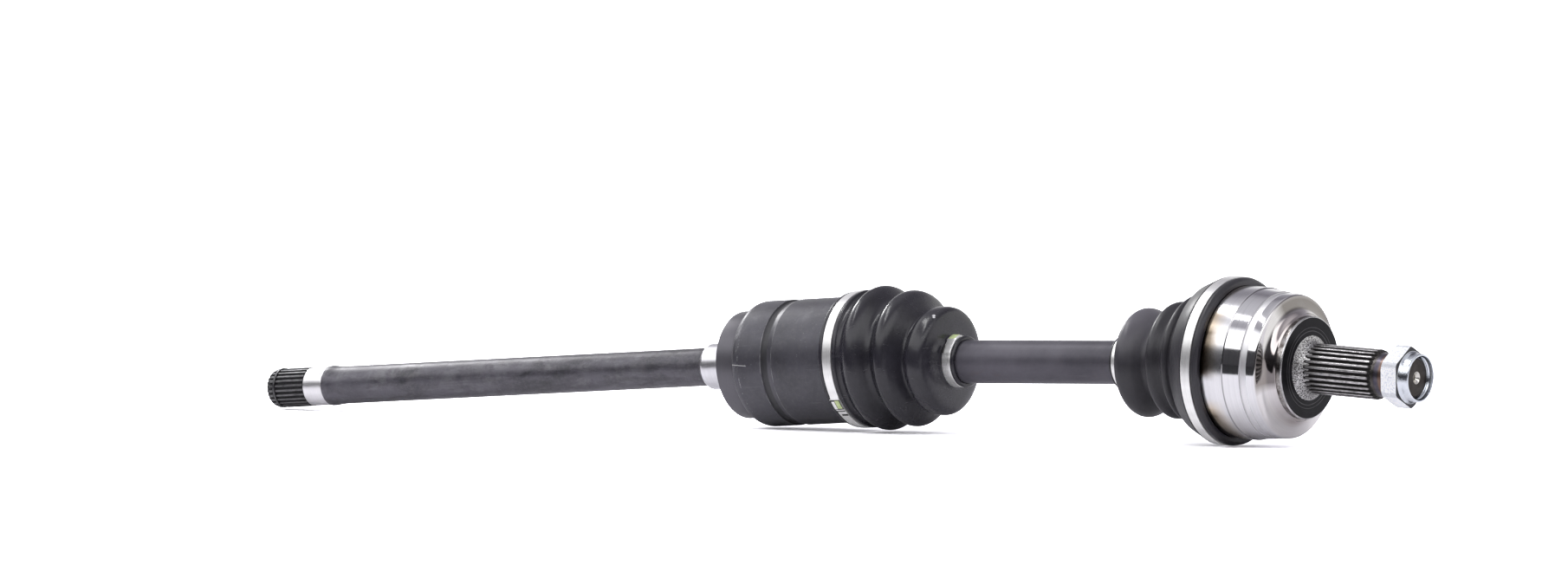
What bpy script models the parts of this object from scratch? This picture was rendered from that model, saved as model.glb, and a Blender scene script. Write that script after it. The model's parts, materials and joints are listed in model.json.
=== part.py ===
"""Front-wheel drive CV axle lying in its bench pose: a gearbox stub and can holding a plunging
tripod joint, a solid bar, a ball joint inside its bell, and the wheel stub with its nut.

The scene is in metres, +X from gearbox to wheel, +Z up, origin at the centre of the gearbox end
face. The dimensions below are in millimetres and degrees. Each shaft axis is an empty whose own
X runs along the shaft; x is a station along it and a radius is measured from it.
"""

import math
from collections import namedtuple

import bmesh
import bpy
import numpy as np
from mathutils import Matrix, Vector

for old in list(bpy.data.objects):
    bpy.data.objects.remove(old, do_unlink=True)

MM = 0.001

# Tilt of the three shaft axes above the horizontal
ROOT_TILT = 3.91
BAR_TILT = 1.372
STUB_TILT = -2.8

# Joint centres: gearbox face to tripod, tripod to ball joint
INNER_CENTRE = 420.0
CENTRE_SPAN = 312.4

# Gearbox stub, stations from the gearbox face
INNER_TEETH = 25
INNER_SPLINE_END = 28.9
INNER_SPLINE_TIP = 12.0
INNER_SPLINE_ROOT = 10.9
INNER_SPLINE_CORE = 10.6
CLIP_GROOVE_START = 5.5
CLIP_GROOVE_END = 7.5
STUB_LAND_R = 11.8
STUB_LAND_END = 43.4
STUB_SHAFT_R = 11.45
STUB_SHAFT_END = 333.7
COLLAR_R = 13.8
COLLAR_END = 360.7
SHIELD_SEAT_R = 28.0
SHIELD_BORE = 28.4
SHIELD_R = 32.0
CAN_BACK = 375.2
CAN_R = 37.6
CAN_WAIST_R = CAN_R - 1.0

# Can, stations from the tripod joint centre
CAN_MOUTH = 36.0
STOP_GROOVE_START = 33.0
STOP_GROOVE_END = 35.0
STOP_GROOVE_R = 34.9
RING_PLAY = 0.35  # at each side of a ring in its groove
TRACK_HALF_WIDTH = 15.0
TRACK_TOP_R = 33.6
TRACK_START = -37.5
BORE_STEP = TRACK_START + 0.6
LAND_R = 19.5
GUIDE_R = 13.0
GUIDE_FLOOR = -46.0

# Spring and cap, from the tripod joint centre
CAP_BACK = -24.0
CAP_R = 12.5
CAP_SEAT_R = 20.4
SPRING_TURNS = 4.5
SPRING_STEPS = int(SPRING_TURNS * 11)
SPRING_R = 8.2
WIRE_R = 1.0
WIRE_SIDES = 6
SPRING_GAP = 0.35
SPRING_BACK = GUIDE_FLOOR + SPRING_GAP + WIRE_R
SPRING_FRONT = CAP_BACK - SPRING_GAP - WIRE_R

# Tripod
ROLLER_R = 14.0
ROLLER_HALF = 6.0
ROLLER_END_ANGLE = 25.37
ROLLER_STATION = 24.0
ROLLER_BORE = 10.0
TRUNNION_R = 7.5
TRUNNION_END = 32.0
TRUNNION_NECK_R = 7.0
HUB_R = 15.5
HUB_HALF = 9.0
HUB_BORE = 11.8
HUB_CHAMFER = 1.2

# Bar
DOME_R = 20.0
SPLINE_R = 11.5
CLIP_NECK_R = 10.6
NECK_R = 10.5
BAR_R = 12.85
RACE_SEAT_R = 11.0

# Ball joint
BALL_R = 8.73
BALL_PITCH = 29.5  # radius of the circle of ball centres
BALL_STEPS = 8
GROOVE_R = 11.5
GROOVE_SIDES = 12
RACE_R = 26.5
RACE_HALF = 12.5
RACE_BORE = 11.4
CAGE_IN = 26.9
CAGE_OUT = 31.8
CAGE_HALF = 11.5
CAGE_ARC_STEPS = 4
WINDOW_SIZE = (18.3, 14.0, 21.2)  # along, radially, across
BELL_CAVITY = 32.2
BELL_MOUTH = -24.0

# Wheel stub and nut, stations from the ball joint centre
OUTER_TEETH = 27
OUTER_SPLINE_TIP = 14.75
OUTER_SPLINE_ROOT = 13.6
OUTER_SPLINE_CORE = 13.3
OUTER_SPLINE_START = 42.2
OUTER_SPLINE_END = 87.4
SHOULDER_FACE = 37.1
SHOULDER_R = 30.2
THREAD_R = 12.0
STUB_END = 111.5
NUT_BACK = 97.3
NUT_HEX_END = 108.2
NUT_END = 114.5
NUT_FLATS = 32.0
NUT_TURN = 35.0
NUT_ROUND_R = 19.2
NUT_CHAMFER_R = 15.5
NUT_COLLAR_R = 14.2
NUT_BORE = 12.35

# ---------------------------------------------------------------- materials
Look = namedtuple("Look", "name colour metallic roughness")

STEEL = Look("steel", colour=(0.55, 0.55, 0.57), metallic=1.0, roughness=0.28)
FORGED = Look("forged", colour=(0.10, 0.10, 0.105), metallic=0.6, roughness=0.55)
BEARING = Look("bearing_steel", colour=(0.62, 0.62, 0.64), metallic=1.0, roughness=0.15)
BAND = Look("band", colour=(0.68, 0.69, 0.70), metallic=1.0, roughness=0.25)
RUBBER = Look("rubber", colour=(0.02, 0.02, 0.021), metallic=0.0, roughness=0.45)
ELASTOMER = Look("elastomer", colour=(0.03, 0.03, 0.03), metallic=0.0, roughness=0.6)
ZINC = Look("zinc", colour=(0.60, 0.62, 0.66), metallic=1.0, roughness=0.35)
SHIELD = Look("shield", colour=(0.16, 0.16, 0.17), metallic=0.5, roughness=0.4)


def make_material(piece_name, look):
    material = bpy.data.materials.new(piece_name + "_" + look.name)
    material.use_nodes = True
    inputs = material.node_tree.nodes["Principled BSDF"].inputs
    inputs["Base Color"].default_value = (*look.colour, 1.0)
    inputs["Metallic"].default_value = look.metallic
    inputs["Roughness"].default_value = look.roughness
    return material


# ---------------------------------------------------------------- axes
def direction(tilt):
    angle = math.radians(tilt)
    return np.array([math.cos(angle), 0.0, math.sin(angle)])


def add_axis(name, origin, tilt):
    """An empty whose X axis is a shaft axis raised by tilt above the horizontal."""
    axis = bpy.data.objects.new(name, None)
    bpy.context.scene.collection.objects.link(axis)
    axis.location = Vector(origin) * MM
    axis.rotation_euler = (0.0, -math.radians(tilt), 0.0)
    return axis


TRIPOD_CENTRE = direction(ROOT_TILT) * INNER_CENTRE
BALL_CENTRE = TRIPOD_CENTRE + direction(BAR_TILT) * CENTRE_SPAN
ROOT = add_axis("axis_gearbox_stub", (0, 0, 0), ROOT_TILT)
CAN = add_axis("axis_inner_joint", TRIPOD_CENTRE, ROOT_TILT)
BAR = add_axis("axis_bar", TRIPOD_CENTRE, BAR_TILT)
RACE = add_axis("axis_outer_joint_bar", BALL_CENTRE, BAR_TILT)
# The cage halves the angle between bar and wheel stub
CAGE = add_axis("axis_cage", BALL_CENTRE, 0.5 * (BAR_TILT + STUB_TILT))
BELL = add_axis("axis_wheel_stub", BALL_CENTRE, STUB_TILT)


def spin(angle):
    """A turn about the shaft axis."""
    return Matrix.Rotation(math.radians(angle), 4, "X")


TRUNNION_TURNS = {
    letter: spin(120.0 * index) @ Matrix.Rotation(math.radians(90.0), 4, "Z")
    for index, letter in enumerate("abc")
}
BALL_TURNS = {str(index + 1): spin(60.0 * index) for index in range(6)}


# ---------------------------------------------------------------- profiles
def arc(radius, angles, centre=0.0):
    """(x, radius) points of an arc; angles run from the mid plane towards +X."""
    return [
        (
            centre + radius * math.sin(math.radians(angle)),
            radius * math.cos(math.radians(angle)),
        )
        for angle in angles
    ]


def shell_arc(radius, half_width):
    """An evenly stepped arc reaching half_width to each side of the mid plane."""
    end = math.degrees(math.asin(half_width / radius))
    return arc(radius, [-end + 2 * end * k / CAGE_ARC_STEPS for k in range(CAGE_ARC_STEPS + 1)])


def dome(sphere_r, radii):
    """(x, radius) points on the -X side of a sphere about the joint centre."""
    return [(-math.sqrt(sphere_r**2 - radius * radius), radius) for radius in radii]


def rectangle(x_span, radii):
    (x_start, x_end), (inner, outer) = x_span, radii
    return [(x_start, inner), (x_start, outer), (x_end, outer), (x_end, inner)]


def solid_rod(x_start, x_end, radius):
    return [(x_start, 0.0), (x_start, radius), (x_end, radius), (x_end, 0.0)]


# ---------------------------------------------------------------- meshes
def polar(x, radius, angle):
    """A point in metres; angle in radians about X from +Y."""
    return (x * MM, radius * math.cos(angle) * MM, radius * math.sin(angle) * MM)


def revolve(profile, segments, closed=False, start=0.0, sweep=360.0, lift=None):
    """Turns (x, radius) points about X. closed joins the last point to the first. lift(angle)
    adds to the radius of every point that carries a third value."""
    mesh = bmesh.new()
    full = sweep >= 360.0
    count = segments if full else segments + 1
    angles = [math.radians(start + sweep * k / segments) for k in range(count)]
    rings = []
    for x, radius, *lifted in profile:
        if radius < 1e-9:
            rings.append([mesh.verts.new((x * MM, 0.0, 0.0))] * count)
            continue
        rings.append(
            [
                mesh.verts.new(polar(x, radius + (lift(angle) if lifted else 0.0), angle))
                for angle in angles
            ]
        )
    pairs = list(zip(rings, rings[1:]))
    if closed:
        pairs.append((rings[-1], rings[0]))
    for near, far in pairs:
        for k in range(segments):
            after = (k + 1) % count
            # On the axis the corners coincide, leaving a triangle or nothing
            corners = list(dict.fromkeys((near[k], near[after], far[after], far[k])))
            if len(corners) > 2:
                mesh.faces.new(corners)
    if not full:
        mesh.faces.new([ring[0] for ring in rings])
        mesh.faces.new([ring[-1] for ring in rings])
    return mesh


def loft(sections, looped=False):
    """Joins sections of equal point count, in metres; looped joins the last to the first,
    otherwise both ends are capped."""
    mesh = bmesh.new()
    rings = [[mesh.verts.new(point) for point in section] for section in sections]
    count = len(rings[0])
    for near, far in zip(rings, rings[1:] + (rings[:1] if looped else [])):
        for k in range(count):
            after = (k + 1) % count
            mesh.faces.new((near[k], near[after], far[after], far[k]))
    if not looped:
        mesh.faces.new(rings[0])
        mesh.faces.new(rings[-1])
    return mesh


def prism(outline, x_start, x_end):
    """Extrudes a (y, z) outline along X."""
    return loft([[(x * MM, y * MM, z * MM) for y, z in outline] for x in (x_start, x_end)])


def toothed(sections, teeth):
    """A splined bar: sections are (x, root radius, tip radius)."""
    pitch = 2.0 * math.pi / teeth
    return loft(
        [
            [
                polar(x, radius, (tooth + part) * pitch)
                for tooth in range(teeth)
                for part, radius in ((-0.40, root), (-0.17, tip), (0.17, tip), (0.40, root))
            ]
            for x, root, tip in sections
        ]
    )


def window_box():
    """A block centred where a ball sits."""
    mesh = bmesh.new()
    x, y, z = WINDOW_SIZE
    place = Matrix.Translation(Vector((0.0, BALL_PITCH, 0.0)) * MM)
    size = Matrix.Diagonal((x * MM, y * MM, z * MM, 1.0))
    bmesh.ops.create_cube(mesh, size=1.0, matrix=place @ size)
    return mesh


def groove_tube(first_angle, last_angle, steps):
    """A curved tube about the joint centre; angles run from the plane of the balls to +X."""
    across = Vector((0.0, 0.0, 1.0))
    sections = []
    for k in range(steps + 1):
        angle = math.radians(first_angle + (last_angle - first_angle) * k / steps)
        outward = Vector((math.sin(angle), math.cos(angle), 0.0))
        section = []
        for j in range(GROOVE_SIDES):
            turn = 2 * math.pi * (j + 0.5) / GROOVE_SIDES
            reach = BALL_PITCH + GROOVE_R * math.cos(turn)
            section.append((outward * reach + across * (GROOVE_R * math.sin(turn))) * MM)
        sections.append(section)
    return loft(sections)


def coil():
    sections = []
    for k in range(SPRING_STEPS + 1):
        part = k / SPRING_STEPS
        angle = 2.0 * math.pi * SPRING_TURNS * part
        x = SPRING_BACK + (SPRING_FRONT - SPRING_BACK) * part
        outward = Vector((0.0, math.cos(angle), math.sin(angle)))
        centre = outward * SPRING_R + Vector((x, 0, 0))
        section = []
        for j in range(WIRE_SIDES):
            turn = 2 * math.pi * j / WIRE_SIDES
            rise = outward * (WIRE_R * math.cos(turn))
            section.append((centre + rise + Vector((WIRE_R * math.sin(turn), 0, 0))) * MM)
        sections.append(section)
    return loft(sections)


# ---------------------------------------------------------------- objects
def add_object(name, mesh, axis, local):
    data = bpy.data.meshes.new(name)
    bmesh.ops.recalc_face_normals(mesh, faces=mesh.faces[:])
    mesh.to_mesh(data)
    mesh.free()
    added = bpy.data.objects.new(name, data)
    bpy.context.scene.collection.objects.link(added)
    added.parent = axis
    if local is not None:
        added.matrix_local = local
    return added


def add_piece(name, mesh, look, axis, local=None, sharp=32.0):
    """A visible piece; edges steeper than sharp degrees are shaded sharp."""
    piece = add_object(name, mesh, axis, local)
    piece.data.shade_smooth()
    piece.data.set_sharp_from_angle(angle=math.radians(sharp))
    piece.data.materials.append(make_material(name, look))
    return piece


def combine(piece, operation, name, mesh, axis, local=None):
    """Adds a hidden helper solid and applies it to the piece with a boolean modifier."""
    helper = add_object(name, mesh, axis, local)
    helper.hide_render = True
    helper.display_type = "WIRE"
    modifier = piece.modifiers.new(operation.lower() + "_" + name, "BOOLEAN")
    modifier.operation = operation
    modifier.solver = "EXACT"
    modifier.object = helper


def add_split_ring(name, axis, x_span, radii, segments, start, sweep, local=None):
    """An open ring of rectangular section."""
    mesh = revolve(rectangle(x_span, radii), segments, closed=True, start=start, sweep=sweep)
    add_piece(name, mesh, BEARING, axis, local)


# ---------------------------------------------------------------- gearbox stub and can
# (x from the gearbox face, radius)
STUB_PROFILE = [
    (0.0, 0.0), (0.0, 10.2), (0.4, INNER_SPLINE_CORE),
    (INNER_SPLINE_END, INNER_SPLINE_CORE), (INNER_SPLINE_END, STUB_LAND_R),
    (STUB_LAND_END - 0.4, STUB_LAND_R), (STUB_LAND_END, 12.2), (47.6, 12.0),
    (54.0, STUB_SHAFT_R + 0.05), (STUB_SHAFT_END, STUB_SHAFT_R),
    (STUB_SHAFT_END + 2.4, COLLAR_R), (COLLAR_END, COLLAR_R),
    (COLLAR_END, SHIELD_SEAT_R - 0.5), (COLLAR_END + 0.5, SHIELD_SEAT_R),
    (CAN_BACK, SHIELD_SEAT_R), (CAN_BACK, 33.0), (CAN_BACK + 1.2, 35.6),
    (CAN_BACK + 3.2, CAN_R), (399.1, CAN_R), (399.8, CAN_WAIST_R),
    (403.2, CAN_WAIST_R), (406.9, CAN_R),
]
# (x from the tripod joint centre, radius), round the mouth and back down the bore
CAN_MOUTH_PROFILE = [
    (CAN_MOUTH - 1.0, CAN_R), (CAN_MOUTH, CAN_R - 1.0), (CAN_MOUTH, 30.1),
    (STOP_GROOVE_END, 29.8), (STOP_GROOVE_END, STOP_GROOVE_R),
    (STOP_GROOVE_START, STOP_GROOVE_R), (STOP_GROOVE_START, 29.2),
    (3.0, LAND_R), (BORE_STEP, LAND_R), (BORE_STEP, GUIDE_R),
    (GUIDE_FLOOR, GUIDE_R), (GUIDE_FLOOR, 0.0),
]


def track_outline():
    """(y, z) outline of the three-lobed cavity."""
    half = math.degrees(math.asin(TRACK_HALF_WIDTH / TRACK_TOP_R))
    wall_meeting_r = TRACK_HALF_WIDTH / math.sin(math.radians(60.0))
    outline = []
    for track in range(3):
        base = 120.0 * track
        corners = [(base - half + 2.0 * half * k / 4, TRACK_TOP_R) for k in range(5)]
        for degrees, radius in corners + [(base + 60.0, wall_meeting_r)]:
            angle = math.radians(degrees)
            outline.append((radius * math.cos(angle), radius * math.sin(angle)))
    return outline


def add_inner_housing():
    """Gearbox stub and can in one piece, with teeth on each side of the circlip groove."""
    mouth = [(INNER_CENTRE + x, radius) for x, radius in CAN_MOUTH_PROFILE]
    housing = add_piece("inner_housing", revolve(STUB_PROFILE + mouth, 36), FORGED, ROOT)
    tooth = (INNER_SPLINE_ROOT, INNER_SPLINE_TIP)
    front = [(0.3, 10.65, 10.9), (3.6, *tooth), (CLIP_GROOVE_START, *tooth)]
    back = [(CLIP_GROOVE_END, *tooth), (INNER_SPLINE_END + 0.2, *tooth)]
    for name, sections in (("teeth_in_front_of_groove", front), ("teeth_behind_groove", back)):
        combine(housing, "UNION", name, toothed(sections, INNER_TEETH), ROOT)
    cavity = prism(track_outline(), TRACK_START, CAN_MOUTH + 1.0)
    combine(housing, "DIFFERENCE", "track_cavity", cavity, CAN)


def add_gearbox_circlip():
    x_start = CLIP_GROOVE_START + RING_PLAY
    x_end = CLIP_GROOVE_END - RING_PLAY
    inner, outer, chamfer = 11.1, 12.4, 0.25
    profile = [
        (x_start, inner), (x_start, outer - chamfer), (x_start + chamfer, outer),
        (x_end - chamfer, outer), (x_end, outer - chamfer), (x_end, inner),
    ]
    mesh = revolve(profile, 24, closed=True, start=-70.0, sweep=320.0)
    add_piece("gearbox_circlip", mesh, BEARING, ROOT)


def add_dust_shield():
    """Ring on the seat behind the can."""
    x_start, x_end = 361.5, 374.5
    profile = [
        (x_start, SHIELD_BORE), (x_start, SHIELD_R - 1.0), (x_start + 1.0, SHIELD_R),
        (x_end - 0.6, SHIELD_R), (x_end, SHIELD_R - 0.6), (x_end, SHIELD_BORE),
    ]
    add_piece("dust_shield", revolve(profile, 40, closed=True), SHIELD, ROOT)


def add_stop_ring():
    """Ring in the groove just inside the can mouth."""
    x_span = (STOP_GROOVE_START + RING_PLAY, STOP_GROOVE_END - RING_PLAY)
    add_split_ring("stop_ring", CAN, x_span, (32.0, 34.5), 36, start=65.0, sweep=350.0)


def add_thrust_spring():
    add_piece("thrust_spring", coil(), BEARING, CAN, sharp=60.0)


def add_thrust_cap():
    """Cap between the spring and the domed end of the bar."""
    back = [(CAP_BACK, 0.0), (CAP_BACK, CAP_R - 0.5), (CAP_BACK + 0.5, CAP_R)]
    seat = dome(CAP_SEAT_R, (CAP_R, 11.0, 8.5, 5.5, 2.8, 0.0))
    add_piece("thrust_cap", revolve(back + seat, 28), STEEL, CAN)


# ---------------------------------------------------------------- tripod
# (distance from the bar axis, radius about the trunnion axis)
TRUNNION_PROFILE = [
    (13.2, 0.0), (13.2, TRUNNION_R), (30.3, TRUNNION_R), (30.3, TRUNNION_NECK_R),
    (31.9, TRUNNION_NECK_R), (31.9, 7.3), (TRUNNION_END, 7.2), (TRUNNION_END, 0.0),
]


def add_tripod_spider():
    profile = [
        (-HUB_HALF, HUB_BORE), (-HUB_HALF, HUB_R - HUB_CHAMFER),
        (-HUB_HALF + HUB_CHAMFER, HUB_R), (HUB_HALF - HUB_CHAMFER, HUB_R),
        (HUB_HALF, HUB_R - HUB_CHAMFER), (HUB_HALF, HUB_BORE),
    ]
    spider = add_piece("tripod_spider", revolve(profile, 30, closed=True), FORGED, BAR)
    for letter, turn in TRUNNION_TURNS.items():
        combine(spider, "UNION", "trunnion_" + letter, revolve(TRUNNION_PROFILE, 20), BAR, turn)


def add_roller(letter, turn):
    angles = (-ROLLER_END_ANGLE, -13.0, 0.0, 13.0, ROLLER_END_ANGLE)
    bore = [
        (ROLLER_STATION + ROLLER_HALF, ROLLER_BORE),
        (ROLLER_STATION - ROLLER_HALF, ROLLER_BORE),
    ]
    profile = arc(ROLLER_R, angles, centre=ROLLER_STATION) + bore
    mesh = revolve(profile, 24, closed=True)
    add_piece("tripod_roller_" + letter, mesh, BEARING, BAR, turn)


def add_needle_set(letter, turn):
    """The needles of one roller as a plain sleeve."""
    mesh = revolve(rectangle((18.5, 29.7), (7.8, 9.7)), 20, closed=True)
    add_piece("needle_set_" + letter, mesh, BEARING, BAR, turn)


def add_roller_clip(letter, turn):
    add_split_ring(
        "roller_clip_" + letter, BAR, (30.6, 31.6), (7.3, 10.0), 18,
        start=20.0, sweep=325.0, local=turn,
    )


def add_tripod_circlip():
    add_split_ring(
        "tripod_circlip", BAR, (-11.1, -9.9), (10.9, 13.3), 20, start=30.0, sweep=330.0
    )


# ---------------------------------------------------------------- bar
# (x from the tripod joint centre, radius)
BAR_INNER_PROFILE = [
    (-16.0, SPLINE_R), (-11.4, SPLINE_R), (-11.4, CLIP_NECK_R), (-9.6, CLIP_NECK_R),
    (-9.6, SPLINE_R), (10.0, SPLINE_R), (12.0, NECK_R), (57.0, NECK_R), (62.0, BAR_R),
]
# (x from the ball joint centre, radius)
BAR_OUTER_PROFILE = [
    (-66.0, BAR_R), (-60.0, NECK_R), (-15.0, NECK_R), (-13.6, RACE_SEAT_R),
    (RACE_HALF, RACE_SEAT_R), (RACE_HALF, 10.1), (14.4, 10.1), (14.4, RACE_SEAT_R),
    (15.2, RACE_SEAT_R), (16.2, RACE_SEAT_R - 1.0), (16.2, 0.0),
]


def add_axle_shaft():
    tip = dome(DOME_R, (0.0, 4.0, 7.5, 10.2, 11.3))
    wheel_end = [(CENTRE_SPAN + x, radius) for x, radius in BAR_OUTER_PROFILE]
    add_piece("axle_shaft", revolve(tip + BAR_INNER_PROFILE + wheel_end, 26), FORGED, BAR)


# ---------------------------------------------------------------- ball joint
# (x from the ball joint centre, radius), outside of the bell and stub down to the hole in its end
BELL_OUTSIDE = [
    (BELL_MOUTH, 39.3), (BELL_MOUTH, 43.6), (BELL_MOUTH + 0.8, 44.4),
    (-9.6, 44.4), (-9.2, 44.7), (5.0, 44.7), (5.5, 44.05), (16.1, 43.1), (16.5, 42.1),
    (20.4, 42.1), (20.9, 42.6), (26.2, 42.0), (27.0, 41.0), (27.4, 37.6), (28.6, 34.2),
    (30.6, 31.9), (33.0, SHOULDER_R), (SHOULDER_FACE - 0.5, SHOULDER_R),
    (SHOULDER_FACE, SHOULDER_R - 0.5), (SHOULDER_FACE, 19.2),
    (37.8, 17.2), (39.4, 15.4), (41.4, 13.9), (42.5, OUTER_SPLINE_CORE),
    (OUTER_SPLINE_END, OUTER_SPLINE_CORE), (OUTER_SPLINE_END + 0.8, 13.0), (94.2, 13.0),
    (95.3, THREAD_R), (STUB_END - 1.0, THREAD_R), (STUB_END, THREAD_R - 1.0),
    (STUB_END, 3.2), (109.3, 1.6), (105.7, 1.6), (104.9, 0.0),
]
# Degrees from +X, from the bottom of the spherical cavity to its open side
CAVITY_ANGLES = (*range(0, 100, 11), 108, 116)


def cut_grooves(piece, prefix, axis, first_angle, last_angle, steps):
    for number, turn in BALL_TURNS.items():
        tube = groove_tube(first_angle, last_angle, steps)
        combine(piece, "DIFFERENCE", prefix + number, tube, axis, turn)


def add_inner_race():
    end = math.degrees(math.asin(RACE_HALF / RACE_R))
    side = arc(RACE_R, (-end, -18.0, -9.0, 0.0, 9.0, 18.0, end))
    profile = side + [(RACE_HALF, RACE_BORE), (-RACE_HALF, RACE_BORE)]
    race = add_piece("inner_race", revolve(profile, 36, closed=True), BEARING, RACE)
    cut_grooves(race, "race_groove_", RACE, -48.0, 48.0, 8)


def add_race_circlip():
    add_split_ring(
        "race_circlip", RACE, (12.85, 14.1), (10.4, 12.9), 20, start=30.0, sweep=330.0
    )


def add_ball_cage():
    profile = shell_arc(CAGE_OUT, CAGE_HALF) + shell_arc(CAGE_IN, CAGE_HALF)[::-1]
    cage = add_piece("ball_cage", revolve(profile, 36, closed=True), BEARING, CAGE)
    for number, turn in BALL_TURNS.items():
        combine(cage, "DIFFERENCE", "cage_window_" + number, window_box(), CAGE, turn)


def add_outer_bell():
    """Bell and wheel stub in one piece."""
    cavity = [
        (BELL_CAVITY * math.cos(math.radians(angle)), BELL_CAVITY * math.sin(math.radians(angle)))
        for angle in CAVITY_ANGLES
    ]
    bell = add_piece("outer_bell", revolve(BELL_OUTSIDE + cavity, 36, closed=True), STEEL, BELL)
    sections = [
        (40.9, 13.35, 13.45),
        (OUTER_SPLINE_START + 0.6, OUTER_SPLINE_ROOT, OUTER_SPLINE_TIP),
        (OUTER_SPLINE_END - 1.0, OUTER_SPLINE_ROOT, OUTER_SPLINE_TIP),
        (OUTER_SPLINE_END, 13.4, 13.7),
    ]
    combine(bell, "UNION", "wheel_spline_teeth", toothed(sections, OUTER_TEETH), BELL)
    cut_grooves(bell, "bell_groove_", BELL, -66.0, 42.0, 9)


def add_ball(number, turn):
    angles = [math.pi * k / BALL_STEPS for k in range(1, BALL_STEPS)]
    side = [(-BALL_R * math.cos(angle), BALL_R * math.sin(angle)) for angle in angles]
    mesh = revolve([(-BALL_R, 0.0)] + side + [(BALL_R, 0.0)], 14)
    local = turn @ Matrix.Translation((0.0, BALL_PITCH * MM, 0.0))
    add_piece("ball_" + number, mesh, BEARING, CAGE, local, sharp=180.0)


# ---------------------------------------------------------------- axle nut
def add_axle_nut():
    """Hexagon with turned corners, a round collar on its +X side and a plain bore."""
    corner_r = NUT_FLATS / math.sqrt(3.0)
    corners = [math.radians(NUT_TURN + 60 * k) for k in range(6)]
    hexagon = [(corner_r * math.cos(angle), corner_r * math.sin(angle)) for angle in corners]
    nut = add_piece("axle_nut", prism(hexagon, NUT_BACK, NUT_HEX_END), ZINC, BELL)
    rounding = [
        (NUT_BACK - 1.0, 0.0), (NUT_BACK - 1.0, NUT_CHAMFER_R), (NUT_BACK + 1.6, NUT_ROUND_R),
        (NUT_HEX_END - 1.6, NUT_ROUND_R), (NUT_HEX_END + 1.0, NUT_CHAMFER_R),
        (NUT_HEX_END + 1.0, 0.0),
    ]
    collar = [
        (NUT_HEX_END - 2.0, 0.0), (NUT_HEX_END - 2.0, NUT_COLLAR_R),
        (NUT_END - 0.4, NUT_COLLAR_R), (NUT_END, NUT_COLLAR_R - 0.4), (NUT_END, 0.0),
    ]
    bore = solid_rod(NUT_BACK - 1.0, NUT_END + 1.0, NUT_BORE)
    combine(nut, "INTERSECT", "nut_corner_chamfer", revolve(rounding, 36), BELL)
    combine(nut, "UNION", "nut_collar", revolve(collar, 32), BELL)
    combine(nut, "DIFFERENCE", "nut_bore", revolve(bore, 32), BELL)


# ---------------------------------------------------------------- boot clamps
# name, axis, x span, (inner, outer) radius, lock (angle, width in degrees, height), segments
CLAMPS = [
    ("inner_boot_large_clamp", CAN, (27.4, 33.5), (40.15, 41.1), (210.0, 24.0, 1.1), 34),
    ("inner_boot_small_clamp", BAR, (96.2, 102.0), (14.55, 15.35), (262.0, 40.0, 1.0), 26),
    ("outer_boot_small_clamp", BAR, (CENTRE_SPAN - 93.0, CENTRE_SPAN - 86.5), (15.7, 16.6),
     (100.0, 38.0, 1.0), 26),
    ("outer_boot_large_clamp", BELL, (-20.5, -14.3), (48.85, 49.75), (215.0, 22.0, 1.1), 34),
]


def add_clamp(name, axis, x_span, radii, lock, segments):
    """A clamp strap with its raised lock."""
    (x_start, x_end), (inner, outer) = x_span, radii
    lock_angle, lock_width, lock_height = lock

    def lift(angle):
        offset = (math.degrees(angle) - lock_angle + 180.0) % 360.0 - 180.0
        return lock_height if abs(offset) < lock_width / 2.0 else 0.0

    shoulder = outer - 0.25
    profile = [
        (x_start, inner), (x_start, shoulder), (x_start + 0.3, outer, "lifted"),
        (x_end - 0.3, outer, "lifted"), (x_end, shoulder), (x_end, inner),
    ]
    add_piece(name, revolve(profile, segments, closed=True, lift=lift), BAND, axis)


# ---------------------------------------------------------------- boots
BOOT_SEGMENTS = 26
INNER_BOOT_WALL = 1.4
OUTER_BOOT_WALL = 1.5

# (x from the tripod joint centre, radius)
INNER_FOLDS = [
    (36.8, 39.5), (39.0, 39.1), (41.6, 40.6), (44.4, 42.5), (46.4, 43.0), (48.8, 42.3),
    (52.2, 38.2), (54.7, 35.0), (56.6, 34.0), (58.8, 34.8), (62.6, 38.6), (65.0, 40.2),
    (66.8, 40.5), (69.0, 39.6), (72.0, 34.4), (74.6, 28.8), (76.5, 27.0), (78.4, 28.4),
    (81.0, 31.4), (84.0, 32.2), (89.8, 31.9), (92.4, 28.0), (94.0, 20.0), (95.4, 15.1),
]
# (x from the ball joint centre, radius)
OUTER_FOLDS = [
    (-80.6, 15.8), (-82.4, 19.0), (-82.6, 25.0), (-81.0, 30.4), (-77.7, 32.1), (-73.8, 31.2),
    (-68.8, 27.0), (-65.9, 24.0), (-63.8, 23.0), (-61.6, 24.4), (-58.6, 29.6), (-56.4, 33.2),
    (-54.4, 34.4), (-51.8, 33.7), (-48.9, 31.6), (-46.8, 31.0), (-44.6, 33.6), (-42.6, 37.2),
    (-40.8, 38.0), (-38.7, 36.0), (-37.1, 35.5), (-34.8, 37.6), (-33.0, 41.5), (-31.6, 44.4),
]


def inside_of(folds, wall):
    """The fold line moved inwards by the wall thickness."""
    points = [Vector(point) for point in folds]
    inside = []
    for k, point in enumerate(points):
        before = points[max(k - 1, 0)]
        after = points[min(k + 1, len(points) - 1)]
        tangent = (after - before).normalized()
        inside.append(tuple(point + Vector((tangent.y, -tangent.x)) * wall))
    return inside


def smooth_step(part):
    part = min(1.0, max(0.0, part))
    return part * part * (3.0 - 2.0 * part)


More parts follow.
